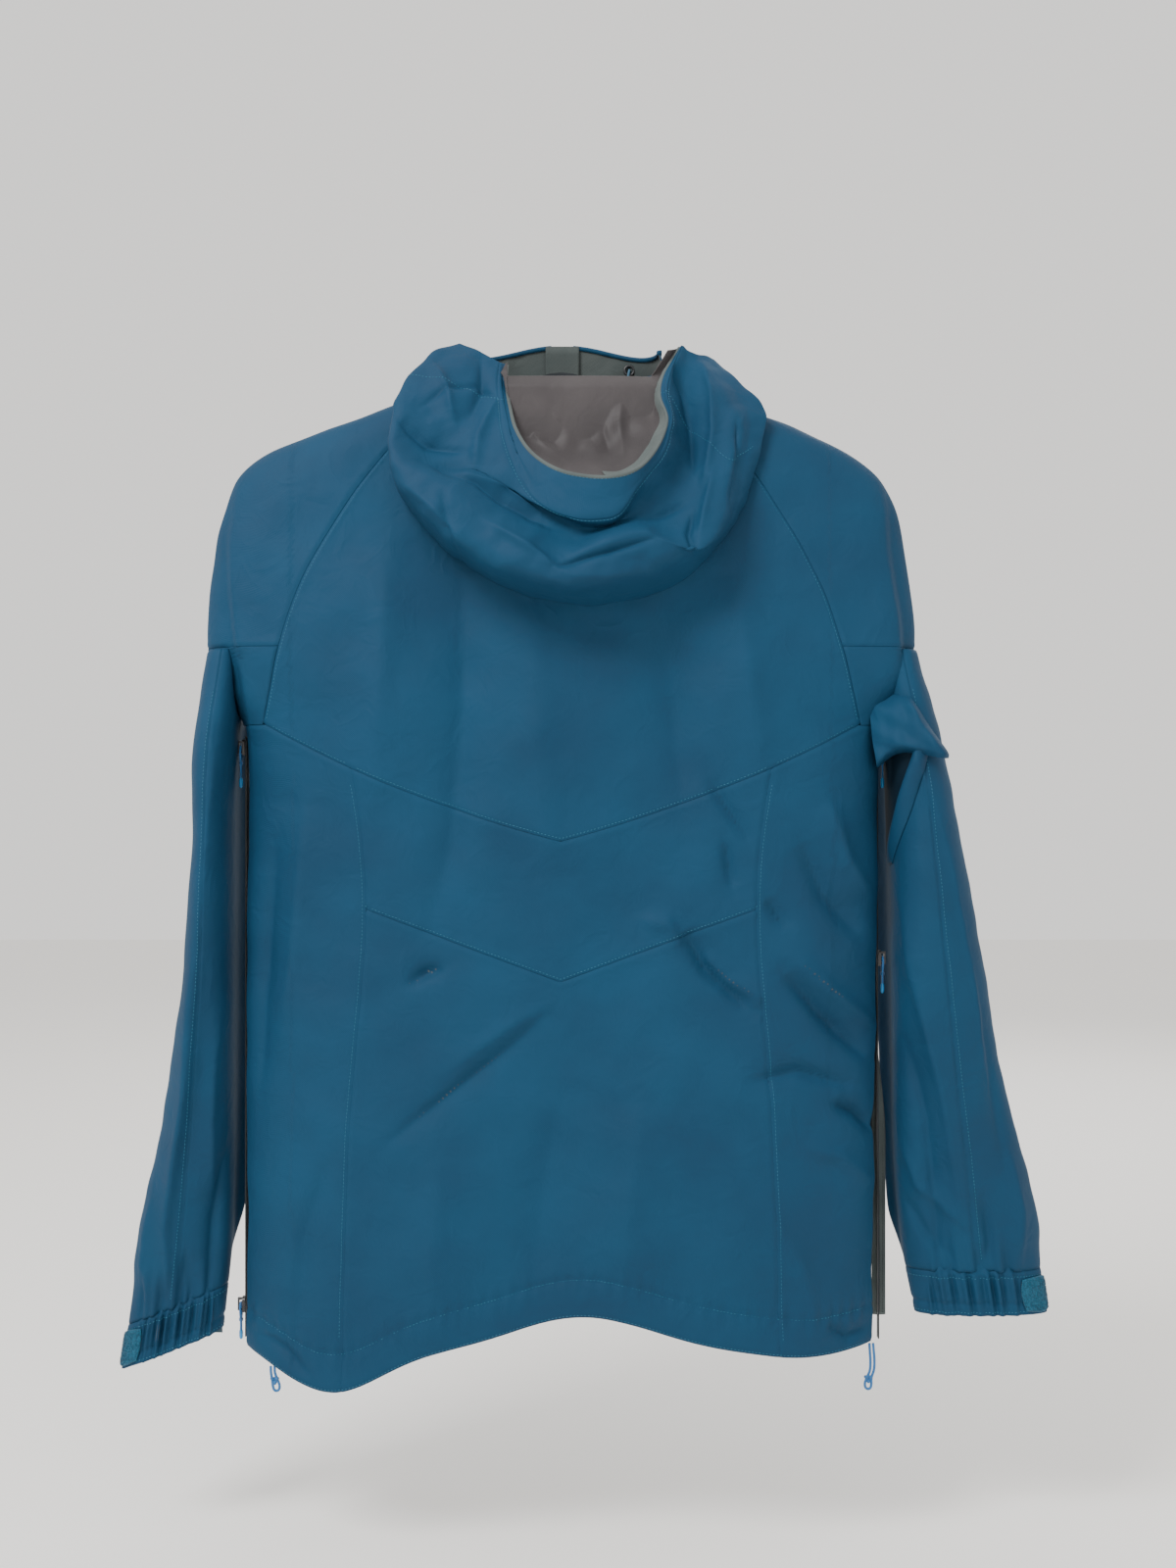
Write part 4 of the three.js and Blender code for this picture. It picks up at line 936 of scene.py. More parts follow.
def sleeve_top(angle):
    """The sleeve's sewn top: at the shoulder seam outside, and under the arm inside."""
    return mix(-236, -187.2, smooth((1 + np.cos(angle)) * 1.5))


def axis_away(base, spec):
    """Directions from the sleeve's own middle line, level with each point."""
    middle = spec["side"] * (spec["outer"](base[..., 2]) + spec["inner"](base[..., 2])) / 2
    return np.stack([base[..., 0] - middle, base[..., 1] - 8, 0 * middle], -1)


def tube_normals(points, spec):
    """Unit normals of a grid that closes round the sleeve, looking out from the sleeve's middle."""
    padded = closed_round(points)
    return facing(padded, axis_away(padded, spec))[:, 1:-1]


def round_grid(columns, rows):
    """The angles round a tube, from its back, and the shares down it."""
    u, v = np.meshgrid(np.linspace(0, 1, columns + 1)[:-1], np.linspace(0, 1, rows))
    return u, v, -np.pi / 2 + 2 * np.pi * u


def sleeve_tube(spec):
    """The sleeve's plain and raised grids, from its top seam down to the cuff's seam."""
    u, v, angle = round_grid(150, 190)
    bottom = spec["cuff_z"] + CUFF + 0.2
    base = sleeve_point(spec, angle, mix(sleeve_top(angle), bottom, v))
    height = sleeve_height(spec, angle, base[..., 0], base[..., 2], bottom)
    round_way, down_way = u * 450, v * 500
    seam = -0.9 * (bell(round_way, 0, 1.6) + bell(450 - round_way, 0, 1.6) + bell(round_way, 225, 1.6))
    edge = -0.5 * bell(down_way, 0, 1.8) - 0.3 * bell(500 - down_way, 0, 1.8)
    return base, base + tube_normals(base, spec) * (height + seam + edge)[..., None]


def bend_with_sleeve(piece):
    """Bakes the piece's placement into its mesh, and leaves it unattached."""
    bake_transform(piece)


for name, spec in SLEEVES.items():
    base, outer = sleeve_tube(spec)
    piece = sheet_piece(f"sleeve_{name}_cloth", outer, shell_cloth, None,
                        away=axis_away(base, spec), wrap=True, inside=backer_cloth)
    bend_with_sleeve(piece)
    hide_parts(f"sleeve_outer_{name}", f"sleeve_under_{name}")

# The cloth under the right arm sags out in a hollow fold between the body and the sleeve.
BACKWARDS = [0.0, -1.0, 0.0]
FORWARDS = [0.0, 1.0, 0.0]
UNDERARM_ROWS = [
    [[236, -9, -216], [243, -13, -216], [248, -18, -217], [253, -24, -218], [257, -28, -218]],
    [[231, -27, -231], [242, -37, -230], [251, -43, -230], [258, -48, -230], [263, -42, -230]],
    [[231, -32, -249], [244, -43, -247], [257, -49, -248], [268, -54, -248], [274, -46, -248]],
    [[234, -35, -272], [247, -45, -261], [263, -53, -261], [279, -58, -264], [285, -47, -264]],
    [[237, -24, -276], [250, -30, -266], [264, -44, -266], [279, -56, -269], [286, -46, -269]],
]
grid = smooth_grid(UNDERARM_ROWS, 90, 50)
grid[..., 1] += 0.8 * np.sin(grid[..., 2] * 0.33 + grid[..., 0] * 0.21) + 0.5 * np.sin(grid[..., 0] * 0.5)
piece = sheet_piece("underarm_fold_right", grid, shell_cloth, None,
                    away=BACKWARDS)
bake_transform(piece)

# Below that fold the sleeve's back folds in as a hollow, darkened by a near-black sheet of painted shade, and
# stands out as a soft roll beside it.
spec = SLEEVES["right"]
# Near-black cloth: painted shade for the inside of the underarm hollow, not a colour the cloth has.
hollow_shade_cloth = cloth("hollow_shade_cloth", (0.0005, 0.008, 0.017), (0.0008, 0.012, 0.024), 0.8)


def on_sleeve(first, last, columns, rise):
    """A grid on the right sleeve's back, between two angles at each height, standing off by rise(w, v)."""
    w, v = np.meshgrid(np.linspace(0, 1, columns), np.linspace(0, 1, 60))
    z = mix(-262, -348, v)
    angle = mix(first(v), last(v), w) * np.pi
    base = sleeve_point(spec, angle, z)
    normal = facing(base, axis_away(base, spec))
    height = sleeve_height(spec, angle, base[..., 0], z, spec["cuff_z"] + CUFF + 0.2)
    return base + normal * (height + rise(w, v))[..., None]


def hollow_edge(v):
    """The hollow's outer edge, in half turns: it comes in evenly from top to bottom."""
    return 1.44 - 0.40 * v


# The sheet of painted shade that lies in the hollow.
grid = on_sleeve(lambda v: 1.0 + 0 * v, hollow_edge, 30, lambda w, v: 0.9 - 0.5 * (v > 0.98))
piece = sheet_piece("underarm_hollow_shade_right", grid, hollow_shade_cloth, "sleeve_right", thickness=0.5,
                    away=BACKWARDS)
grid = on_sleeve(lambda v: hollow_edge(v) - 0.02, lambda v: hollow_edge(v) + 0.13 - 0.05 * v, 34,
                 lambda w, v: 0.6 + 7.5 * np.sin(np.pi * w**0.6) ** 0.8 * np.sqrt(np.clip(1.02 - v, 0, 1)))
piece = sheet_piece("underarm_roll_right", grid, shell_cloth, "sleeve_right", thickness=0.6,
                    away=BACKWARDS)

# ---- Cuffs ----
# Each cuff is a doubled band of shell cloth with elastic inside its back, so it gathers there. A patch
# of loop pile is sewn at its outer edge, and a moulded hook tab on its front.


def cuff_band(spec):
    """A ring round the sleeve's end: ripples where the elastic holds it, and a groove above the hem."""
    _, v, angle = round_grid(300, 30)
    base = sleeve_point(spec, angle, mix(spec["cuff_z"] + CUFF + 5, spec["cuff_z"], v))
    low, high = spec["gather"]
    across = base[..., 0] * spec["side"]
    held = smooth((across - low) / 6) * smooth((high - across) / 6) * smooth(-np.sin(angle) * 3 + 1.6)
    ripple = np.sin(angle * 29 + 2.4 * np.sin(angle * 5 + 1)) + 0.5 * np.sin(angle * 53 + 2)
    swell = 0.6 + 0.9 * np.sin(np.pi * v) ** 2
    groove = -0.9 * bell(v * CUFF, 26, 1.6) - 0.3 * bell(v * CUFF, 0, 1.4)
    height = held * (1.5 * ripple * swell + 1.0) * smooth(v * 5) + groove - 1.8 * smooth((0.16 - v) / 0.06)
    return base, base + tube_normals(base, spec) * height[..., None]


def loop_pile(name, dark, light):
    """Brushed loops: a speckle of two blues, rough and without gloss."""
    made, tree, shader = material(name, 0.95)
    place = add_node(tree, "ShaderNodeTexCoord").outputs["Object"]
    speck = add_node(tree, "ShaderNodeTexNoise", {"Vector": place, "Scale": 900, "Detail": 2})
    colour_between(tree, shader, speck.outputs["Fac"], dark, light, 0.35, 0.65)
    shader.inputs["Sheen Weight"].default_value = 0.1
    return made


def moulded(name, colour, roughness, grain=1400.0):
    """Moulded plastic: one colour a little mottled, with a fine grain and paler worn places."""
    made, tree, shader = material(name, roughness)
    place = add_node(tree, "ShaderNodeTexCoord").outputs["Object"]
    noise = add_node(tree, "ShaderNodeTexNoise", {"Vector": place, "Scale": grain})
    broad = add_node(tree, "ShaderNodeTexNoise", {"Vector": place, "Scale": 120})
    colour_between(tree, shader, broad.outputs["Fac"], colour, [c * 1.5 + 0.012 for c in colour])
    relief(tree, shader, noise.outputs["Fac"], 0.25, 0.0002)
    return made


loop_blue = loop_pile("loop_blue", (0.003, 0.045, 0.088), (0.006, 0.105, 0.180))
tab_rubber = moulded("tab_rubber", (0.012, 0.05, 0.075), 0.5)
black_plastic = moulded("black_plastic", (0.010, 0.011, 0.013), 0.38)


def crystals(name, centres, along, across, normal, lengths, finish, body):
    """Small closed diamonds, eight faces each: the stitches of a row, or the tips of a pile."""
    long, wide, high = lengths
    reach = [along * long / 2, -along * long / 2, across * wide / 2, -across * wide / 2, normal * high,
             -normal * high * 0.5]
    corners = centres[:, None] + np.stack(np.broadcast_arrays(*reach), 1)
    faces = np.array([[0, 2, 4], [2, 1, 4], [1, 3, 4], [3, 0, 4], [2, 0, 5], [1, 2, 5], [3, 1, 5], [0, 3, 5]])
    cells = (faces[None] + 6 * np.arange(len(centres))[:, None, None]).reshape(-1, 3)
    handed = np.einsum("ij,ij->i", np.cross(along, across), normal).mean()
    if handed < 0:
        cells = cells[:, ::-1]
    return new_piece(name, corners.reshape(-1, 3), cells.tolist(), finish, body)


for name, spec in SLEEVES.items():
    side, body = spec["side"], f"sleeve_{name}"
    base, outer = cuff_band(spec)
    piece = sheet_piece(f"cuff_{name}_cloth", outer, shell_cloth, body, thickness=1.6,
                        away=axis_away(base, spec), wrap=True, inside=backer_cloth)
    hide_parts(f"cuff_{name}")

    # The patch: a rounded square on the back of the cuff, thick with loops.
    u, v = np.meshgrid(np.linspace(-1, 1, 34), np.linspace(-1, 1, 34))
    round_u = u * np.sqrt(1 - v * v * 0.22)
    round_v = v * np.sqrt(1 - u * u * 0.22)
    angle = -2 * np.pi * mix(3.05, 0.42, (round_u + 1) / 2) / 20
    z = spec["cuff_z"] + mix(1.5, CUFF - 5, (round_v + 1) / 2)
    base = sleeve_point(spec, angle, z)
    normal = facing(base, axis_away(base, spec))
    rise = 1.9 + 0.25 * np.sin(u * 61) * np.sin(v * 57) - 0.8 * np.maximum(np.abs(u), np.abs(v)) ** 12
    outer = base + normal * rise[..., None]
    piece = sheet_piece(f"cuff_loop_patch_{name}_pile", outer, loop_blue, body, thickness=1.1,
                        away=axis_away(base, spec))
    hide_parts(f"cuff_loop_patch_{name}")
    rng = np.random.default_rng(spec["seed"])
    pick = rng.integers(1, 33, (1500, 2))
    share = rng.uniform(-0.5, 0.5, (1500, 3))
    centres = outer[pick[:, 0], pick[:, 1]] + share * [0.7, 0.2, 0.7]
    tilt = normal[pick[:, 0], pick[:, 1]] + share * 1.6
    along = tilt / np.linalg.norm(tilt, axis=1, keepdims=True)
    across = np.cross(along, [0.31, 0.2, 0.93])
    across /= np.linalg.norm(across, axis=1, keepdims=True)
    crystals(f"cuff_loop_patch_{name}_tips", centres, along, across, np.cross(along, across),
             (1.3, 0.35, 0.18), loop_blue, body)

    # The tab: a flat moulded tongue with a rounded free end, a raised rim and a row of grip bars.
    low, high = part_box(f"cuff_tab_{name}")
    low, high = np.array(low) * 1000, np.array(high) * 1000
    rim_steps = (0.0, 0.4, 0.9, 1.6)
    u, v = np.meshgrid(edge_steps(62, 1.2, rim_steps), edge_steps(22, 1.0, rim_steps))
    half = 0.5 * np.sqrt(1 - smooth((u - 0.78) / 0.22) ** 2 * 0.62)
    root_x, tip_x = (low[0], high[0]) if side > 0 else (high[0], low[0])
    x = mix(root_x, tip_x, u)
    z = mix(low[2], high[2], 0.5 + (v * 2 - 1) * half)
    rim = np.maximum(np.abs(v * 2 - 1), np.abs(u * 2 - 1)) ** 10
    bars = 0.35 * smooth(np.sin(u * 62 * 1.1) * 2) * smooth((u - 0.55) * 20) * smooth((0.95 - u) * 20)
    outer = np.stack([x, low[1] + 1.65 + bars * (1 - rim) + 0.2 * rim - 0.7 * rim**3, z], -1)
    piece = sheet_piece(f"cuff_tab_{name}_tongue", outer, tab_rubber, f"cuff_tab_{name}",
                        thickness=1.3, away=FORWARDS)
    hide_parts(f"cuff_tab_{name}")

# ---- Hood ----
# The hood is shell cloth outside, folded down on the back in a deep U. Its stiffened brim is a band
# 30 mm wide, under which the cloth creases, swells into a ridge and rolls under onto the yoke.
# Each row below is one line of the hood from its left end to its right end: x, y, z in millimetres.
HOOD_RIM = [[-40, -22, 26], [-40, -34, 8], [-37, -46, -9], [-33, -58, -26], [-24, -70, -43],
    [-12, -80, -55], [2, -88, -63], [18, -93, -67], [34, -95, -68], [50, -94, -65], [63, -90, -56],
    [73, -80, -39], [77, -66, -21], [72, -50, -2], [75, -34, 16], [88, -12, 41]]
HOOD_BRIM = [[-46, -25, 28], [-47, -38, 10], [-45, -50, -9], [-42, -61, -30], [-35, -72, -54],
    [-23, -81, -78], [-9, -87, -91], [9, -91, -98], [27, -92, -99], [43, -91, -94], [59, -87, -72],
    [75, -80, -50], [82, -69, -24], [79, -54, -3], [82, -38, 17], [91, -15, 42]]
HOOD_CREASE = [[-58, -22, 36], [-70, -34, 22], [-78, -47, -1], [-88, -58, -30], [-84, -68, -54],
    [-58, -73, -64], [-34, -75, -78], [-12, -78, -93], [12, -80, -105], [33, -80, -103], [54, -78, -94],
    [76, -72, -84], [89, -61, -58], [94, -48, -26], [95, -34, 2], [95, -15, 38]]
HOOD_RIDGE = [[-74, -13, 44], [-95, -27, 31], [-112, -45, 7], [-120, -66, -28], [-116, -82, -52],
    [-88, -92, -73], [-56, -98, -96], [-27, -101, -119], [-6, -102, -132], [26, -101, -120],
    [62, -98, -109], [94, -91, -119], [113, -80, -98], [122, -64, -55], [126, -48, -15], [102, -14, 36]]
HOOD_BELLY = [[-78, -7, 46], [-100, -20, 33], [-117, -36, 6], [-126, -56, -32], [-122, -76, -62],
    [-99, -88, -92], [-64, -95, -122], [-30, -97, -140], [8, -98, -148], [44, -95, -142], [82, -88, -128],
    [112, -76, -112], [128, -60, -86], [137, -48, -46], [139, -36, -10], [110, -9, 36]]
HOOD_HEM = [[-76, 0, 44], [-98, -12, 30], [-113, -26, 5], [-122, -40, -34], [-120, -46, -68],
    [-100, -49, -101], [-63, -50, -131], [-27, -51, -150], [18, -51, -156], [59, -50, -152],
    [94, -49, -134], [124, -47, -103], [139, -43, -70], [148, -37, -34], [150, -27, -5], [116, -5, 34]]
HOOD_FOLDS = [
    ([[-104, -12], [-86, 2], [-62, 8], [-38, -8]], -1.6, 2.2, 3.2),
    ([[-96, 26], [-84, 4], [-78, -24]], 2.6, 7, 6),
    ([[-60, 30], [-58, 6], [-66, -18]], -2.6, 6, 8),
    ([[-118, -22], [-96, -40], [-70, -46]], -3.0, 5, 8),
    ([[-48, -4], [-60, -34], [-62, -58]], 2.6, 8, 6),
    ([[-92, -58], [-60, -70], [-30, -88], [-6, -104]], -3.4, 4, 5),
    ([[-74, -62], [-40, -74], [-14, -92]], 2.4, 4, 4),
    ([[-112, -72], [-88, -92], [-66, -118]], 2.4, 7, 6),
    ([[-84, -80], [-80, -104], [-74, -122]], -1.8, 3, 4),
    ([[-50, -102], [-30, -116], [-4, -134]], 2.6, 4, 6),
    ([[-4, -134], [28, -124], [66, -113]], -3.2, 4, 5),
    ([[-20, -128], [10, -140], [60, -138]], 1.8, 10, 8),
    ([[82, 30], [92, 6], [96, -22], [96, -60]], -4.0, 5, 7),
    ([[106, 26], [112, 0], [112, -30], [104, -70]], 3.2, 6, 6),
    ([[96, -92], [92, -108], [96, -122]], -2.6, 3, 4),
    ([[112, -60], [106, -84], [100, -108]], 2.4, 4, 5),
    ([[130, -20], [132, -50], [124, -84]], -2.4, 4, 5),
    ([[60, -96], [76, -92], [92, -84]], -2.2, 4, 5),
]


half_brim = mix(np.array(HOOD_RIM), np.array(HOOD_BRIM), 0.5)
hood_lines = [HOOD_RIM, half_brim, HOOD_BRIM, HOOD_CREASE, HOOD_RIDGE, HOOD_BELLY, HOOD_HEM]


def hood_fold(base):
    """The hood's folds and creases, calmer on the stiff brim."""
    x, z = base[..., 0], base[..., 2]
    share = np.linspace(0, 1, base.shape[0])[:, None]
    loose = smooth((share - 0.30) / 0.1)
    soft = waves(x, z, [(70, 1.1), (30, 0.5), (14, 0.2)], 5)
    stitched = -0.6 * bell(share * 100, 33.3, 0.9)
    return (soft + 2.1 * creases(x, z, HOOD_FOLDS)) * (0.15 + 0.85 * loose) + stitched


base = smooth_grid(hood_lines, 280, 156)
out_of_hood = np.stack([base[..., 0] * 0.2, base[..., 1] * 0 - 1, (base[..., 2] + 60) * -0.004], -1)
normal = facing(base, out_of_hood)
hood_outer = base + normal * hood_fold(base)[..., None]
piece = sheet_piece("hood_cloth", hood_outer, shell_cloth, None, away=out_of_hood, thickness=0.6)
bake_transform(piece)
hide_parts("hood_crown", "hood_side_left", "hood_side_right")

# The rim's binding: a strip of grey tape folded over the edge and stitched through.
grey_tape = cloth("grey_tape", (0.062, 0.078, 0.078), (0.092, 0.110, 0.108), 0.8, 900.0, 30.0, sheen=0.1)


def band(name, line, out, side, profile, finish, body):
    """A closed strip swept along a line: each profile point goes out by its first value, and along the
    side direction by its second."""
    profile = np.array(profile, float)
    ring = line[:, None] + out[:, None] * profile[None, :, :1] + side[:, None] * profile[None, :, 1:]
    rows, columns = ring.shape[:2]
    index = np.arange(rows * columns).reshape(rows, columns)
    loop = np.concatenate([index, index[:, :1]], 1)
    quads = np.stack([loop[:-1, :-1], loop[:-1, 1:], loop[1:, 1:], loop[1:, :-1]], -1).reshape(-1, 4)
    points = ring.reshape(-1, 3)
    ends = []
    for row, turn in ((index[0], -1), (index[-1], 1)):
        middle = len(points)
        points = np.concatenate([points, points[row].mean(0, keepdims=True)])
        a, b = row, np.roll(row, -1)
        if turn < 0:
            a, b = b, a
        ends += [(int(p), int(q), middle) for p, q in zip(a, b)]
    lengths = np.linalg.norm(np.diff(line, axis=0, prepend=line[:1]), axis=1).cumsum()
    flat = np.stack(np.broadcast_arrays(profile[:, 1], lengths[:, None]), -1).reshape(-1, 2)
    flat = np.concatenate([flat, [[0, 0], [0, lengths[-1]]]])
    piece = new_piece(name, points, quads.tolist() + ends, finish, body)
    lay_flat(piece, flat[np.concatenate([quads.ravel(), np.array(ends).ravel()])])
    if volume_of(points, quads) < 0:
        piece.data.flip_normals()
    return piece


rim_out = facing(hood_outer, out_of_hood)[0]
rim_side = hood_outer[0] - hood_outer[2]
rim_side /= np.linalg.norm(rim_side, axis=1, keepdims=True)
binding = [[0.3, -1.7], [0.5, -1.2], [0.5, 0.1], [0.15, 0.6], [-0.9, 0.6], [-1.3, 0.1], [-1.3, -2.6],
           [-1.1, -3.2]]
piece = band("hood_rim_binding", hood_outer[0], rim_out, rim_side, binding, grey_tape, None)
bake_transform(piece)

# The lining: smooth taupe cloth that hangs in loose folds from the rim down to the back neck seam.
lining_cloth = cloth("lining_cloth", (0.037, 0.033, 0.035), (0.064, 0.057, 0.059), 0.5, 1600.0, 16.0, 0.00003,
                     sheen=0.1, crease_strength=0.45)
NECK_LINE = [[-45, -22, 18], [-43, -26, 16], [-39, -28, 13], [-34, -29, 9], [-28, -30, 6], [-20, -31, 3],
    [-10, -31, 0], [0, -31, -2], [9, -31, 3], [20, -31, 8], [32, -31, 8], [44, -30, 8], [55, -28, 9],
    [63, -25, 12], [69, -21, 18], [80, -10, 36]]
inside_rim = np.array(HOOD_RIM, float) + [0, 1.7, 0]
neck_line = np.array(NECK_LINE, float)
neck_line[:, 2] = np.maximum(neck_line[:, 2], 15.5)
neck_line[:, 1] = body_point(back_phi(neck_line[:, 0], 12.0), 12.0 + 0 * neck_line[:, 0])[:, 1] - 0.5
sag = np.sin(np.linspace(0, np.pi, 16))[:, None]
lining_lines = [inside_rim, mix(inside_rim, neck_line, 0.14) + sag * [0, 7, -9],
                mix(inside_rim, neck_line, 0.4) + sag * [0, 12, -15],
                mix(inside_rim, neck_line, 0.7) + sag * [0, 9, -10], neck_line]
LINING_FOLDS = [
    ([[-30, 8], [-14, -8], [2, -22]], 5.0, 7, 4),
    ([[-24, -6], [-12, -24], [0, -44]], -3.5, 6, 6),
    ([[6, 2], [12, -16], [22, -34]], -4.0, 5, 8),
    ([[14, 6], [20, -12], [18, -30]], 3.5, 5, 5),
    ([[46, 4], [44, -20], [46, -48]], 2.5, 5, 7),
    ([[-30, -14], [-16, -36], [8, -54]], 2.5, 7, 6),
    ([[30, 4], [30, -22], [36, -46]], -2.5, 6, 6),
]
base = smooth_grid(lining_lines, 240, 90)
away_lining = np.broadcast_to(BACKWARDS, base.shape)
normal = facing(base, away_lining)
share = np.linspace(0, 1, 90)[:, None]
x, z = base[..., 0], base[..., 2]
fold = creases(x, z, LINING_FOLDS) + waves(x, z, [(46, 1.3), (19, 0.5)], 8)
outer = base + normal * (fold * np.sin(np.pi * share) ** 0.6)[..., None]
yoke = body_point(back_phi(outer[..., 0], outer[..., 2]), np.minimum(outer[..., 2], 12))[..., 1]
clear = 7.0 * smooth((20 - outer[..., 2]) / 14) + 0.8
outer[..., 1] = np.minimum(outer[..., 1], yoke - clear)
piece = sheet_piece("hood_lining_cloth", outer, lining_cloth, None, away=away_lining, thickness=0.6)
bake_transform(piece)
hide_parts("hood_lining")

# A grey facing strip lies over the lining, inside the rim's right side.
strip = (outer + facing(outer, away_lining) * 0.9)[[0, 6, 12, 19, 25], 128:228]
piece = sheet_piece("hood_facing_right", spline_rows(strip, 24), grey_tape, None, away=BACKWARDS,
                    thickness=0.7)
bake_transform(piece)

# ---- Collar ----
# The front half of the collar stands up: shell cloth outside, brushed grey cloth inside, with a rolled
# top edge. The hood is sewn on where it ends, and a black eyelet lets the hood's cord out inside.


def collar_surface(side):
    """The collar's plain shape: up from the neck's seam, and taller towards the front zip."""

    def surface(u, v):
        z = 0 * u
        for _ in range(8):
            phi = mix(np.radians(84), front_phi(ZIP_GAP, z), u)
            z = mix(neck_z(phi), mix(40, 53, np.cos(phi) ** 4), v)
        return body_point(side * phi, z)

    return surface


collar_cloth = cloth("collar_cloth", (0.042, 0.053, 0.053), (0.068, 0.080, 0.078), 0.85, 700.0, 26.0,
                     sheen=0.1)
COLLAR_THICK = 2.4  # from the shell's outer face to the lining's
for name, side in SIDES.items():
    u, v = panel_grid(130, 62, 2.0)
    base = collar_surface(side)(u, v)
    normal = facing(base, away_from_body(base))
    x, z = base[..., 0], base[..., 2]
    fold = 0.7 * waves(x, z, [(48, 1.0), (20, 0.5)], 12 + side)
    piece = sheet_piece(f"collar_{name}_cloth", base + normal * fold[..., None], shell_cloth, "jacket",
                        away=away_from_body(base), thickness=1.2, inside=collar_cloth)
    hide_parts(f"collar_{name}")
    inner_fold = 0.36 * waves(x, z, [(34, 0.9), (15, 0.4)], 15 + side) - COLLAR_THICK
    piece = sheet_piece(f"collar_lining_{name}_cloth", base + normal * inner_fold[..., None], collar_cloth,
                        "jacket", away=-away_from_body(base), thickness=0.8)
    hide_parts(f"collar_lining_{name}")
    top = base[-1]
    band(f"collar_edge_{name}", top, normal[-1], np.broadcast_to([0.0, 0.0, 1.0], top.shape),
         [[0.3, -2.6], [0.5, 0.3], [0.0, 0.9], [-2.8, 0.9], [-3.4, 0.3], [-3.3, -2.6]], shell_cloth,
         "jacket")


def rod(name, line, radius, finish, body, sides=10):
    """A round rod along a line of points, with flat ends; the radius may change along it."""
    line = np.array(line, float)
    tangent = np.gradient(line, axis=0)
    tangent /= np.linalg.norm(tangent, axis=1, keepdims=True)
    lean = np.array([0.21, 0.93, 0.3]) if abs(tangent[:, 1]).mean() < 0.7 else np.array([0.93, 0.2, 0.3])
    across = np.cross(tangent, lean)
    across /= np.linalg.norm(across, axis=1, keepdims=True)
    up = np.cross(across, tangent)
    radius = np.broadcast_to(radius, len(line))
    a = 2 * np.pi * np.arange(sides) / sides
    circle = np.stack([np.cos(a), np.sin(a)], 1)
    scaled_across, scaled_up = across * radius[:, None], up * radius[:, None]
    return band(name, line, scaled_across, scaled_up, circle, finish, body)


# The eyelet and the short cord through it, on the collar's inner face at the right.
place = body_point(np.array(front_phi(52.0, 33.0)), np.array(33.0)) - [0, 3.4, 0]
turn = np.linspace(0, 2 * np.pi, 41)
ring = np.stack([place[0] + 3.6 * np.cos(turn), place[1] - 0.6 + 0 * turn, place[2] + 3.6 * np.sin(turn)], 1)
rod("collar_eyelet", ring, 1.1, black_plastic, "jacket", 8)
cord_line = place + np.array([[0, 1.5, 0.5], [0, -2.0, -0.5], [-1.0, -3.0, -6.0], [-2.2, -2.6, -13.0],
                              [-1.4, 0.6, -16.5]])
rod("collar_eyelet_cord", spline_rows(cord_line, 30), 1.0, cord_teal, "jacket")

# ---- Zips ----
# Coil zips on coated tape: two at the sides, one at the front, each in two halves that are sewn to the
# panels' edges. The right side zip is open below its lower slider, where its edges part.
tape_cloth = cloth("tape_cloth", (0.010, 0.013, 0.016), (0.020, 0.024, 0.028), 0.6, 1500.0, 40.0, sheen=0.1)
tooth_plastic = moulded("tooth_plastic", (0.014, 0.016, 0.018), 0.33)


def distances(line):
    """How far along a line of points each one lies, in millimetres."""
    return np.concatenate([[0], np.cumsum(np.linalg.norm(np.diff(line, axis=0), axis=1))])


def values_at(at, lengths, values):
    """Three columns of values read off at distances along a line."""
    return np.stack([np.interp(at, lengths, values[:, k]) for k in range(3)], 1)


def zip_teeth(name, line, towards, out, phase):
    """A row of coil turns along a line, 1.7 mm apart, each a closed diamond across the tape's edge."""
    lengths = distances(line)
    at = np.arange(0.8 + phase, lengths[-1] - 0.6, 1.7)
    centres = values_at(at, lengths, line)
    tangent = values_at(at, lengths, np.gradient(line, axis=0))
    tangent /= np.linalg.norm(tangent, axis=1, keepdims=True)
    towards = np.broadcast_to(towards, centres.shape)
    out = np.broadcast_to(out, centres.shape)
    return crystals(name, centres + towards * 1.35 + out * 0.35, towards, tangent, out, (2.9, 1.5, 1.15),
                    tooth_plastic, "jacket")


def zip_half(node, line, towards, out, phase):
    """Half a zip: 8 mm of tape with a rolled inner edge, and its row of teeth."""
    towards, out = np.array(towards, float), np.array(out, float)
    across = np.array([0.5, 0.9, 1.6, 2.6, 3.6, 4.8, 6.0, 7.0, 8.0])
    raise_by = np.array([0.1, 0.55, 0.75, 0.7, 0.42, 0.4, 0.4, 0.4, 0.4])
    grid = line[:, None] + across[:, None] * towards + raise_by[:, None] * out
    piece = sheet_piece(node + "_tape", grid, tape_cloth, "jacket", thickness=0.8,
                        away=out)
    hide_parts(node)
    zip_teeth(node + "_teeth", line, towards, out, phase)


HALF_PITCH = 0.85  # the two halves' teeth alternate
for name, side in SIDES.items():
    for half, towards, bottom in (("back", -1, -706), ("front", 1, FRONT_HEM_Z)):
        z = np.linspace(-252, bottom, 90)
        spread = opened(z) if side > 0 else 0 * z
        flare = ZIP_FLARE * spread if half == "front" else 0 * z
        line = np.stack([side * (239 + flare), towards * ZIP_SPREAD * spread, z], 1)
        zip_half(f"side_zip_{name}_{half}", line, [0, towards, 0], [side, 0, 0], HALF_PITCH * (towards > 0))
    z = np.linspace(49, FRONT_HEM_Z, 60)
    line = np.stack([0 * z, front_depth(z) - 1, z], 1)
    zip_half(f"front_zip_{name}", line, [side, 0, 0], [0, 1, 0], HALF_PITCH * (side > 0))

# A grey facing backs the right side zip. Where the zip is open it turns outwards and shows, with one
# row of dark stitches near its edge.
FACING_TOP = -452


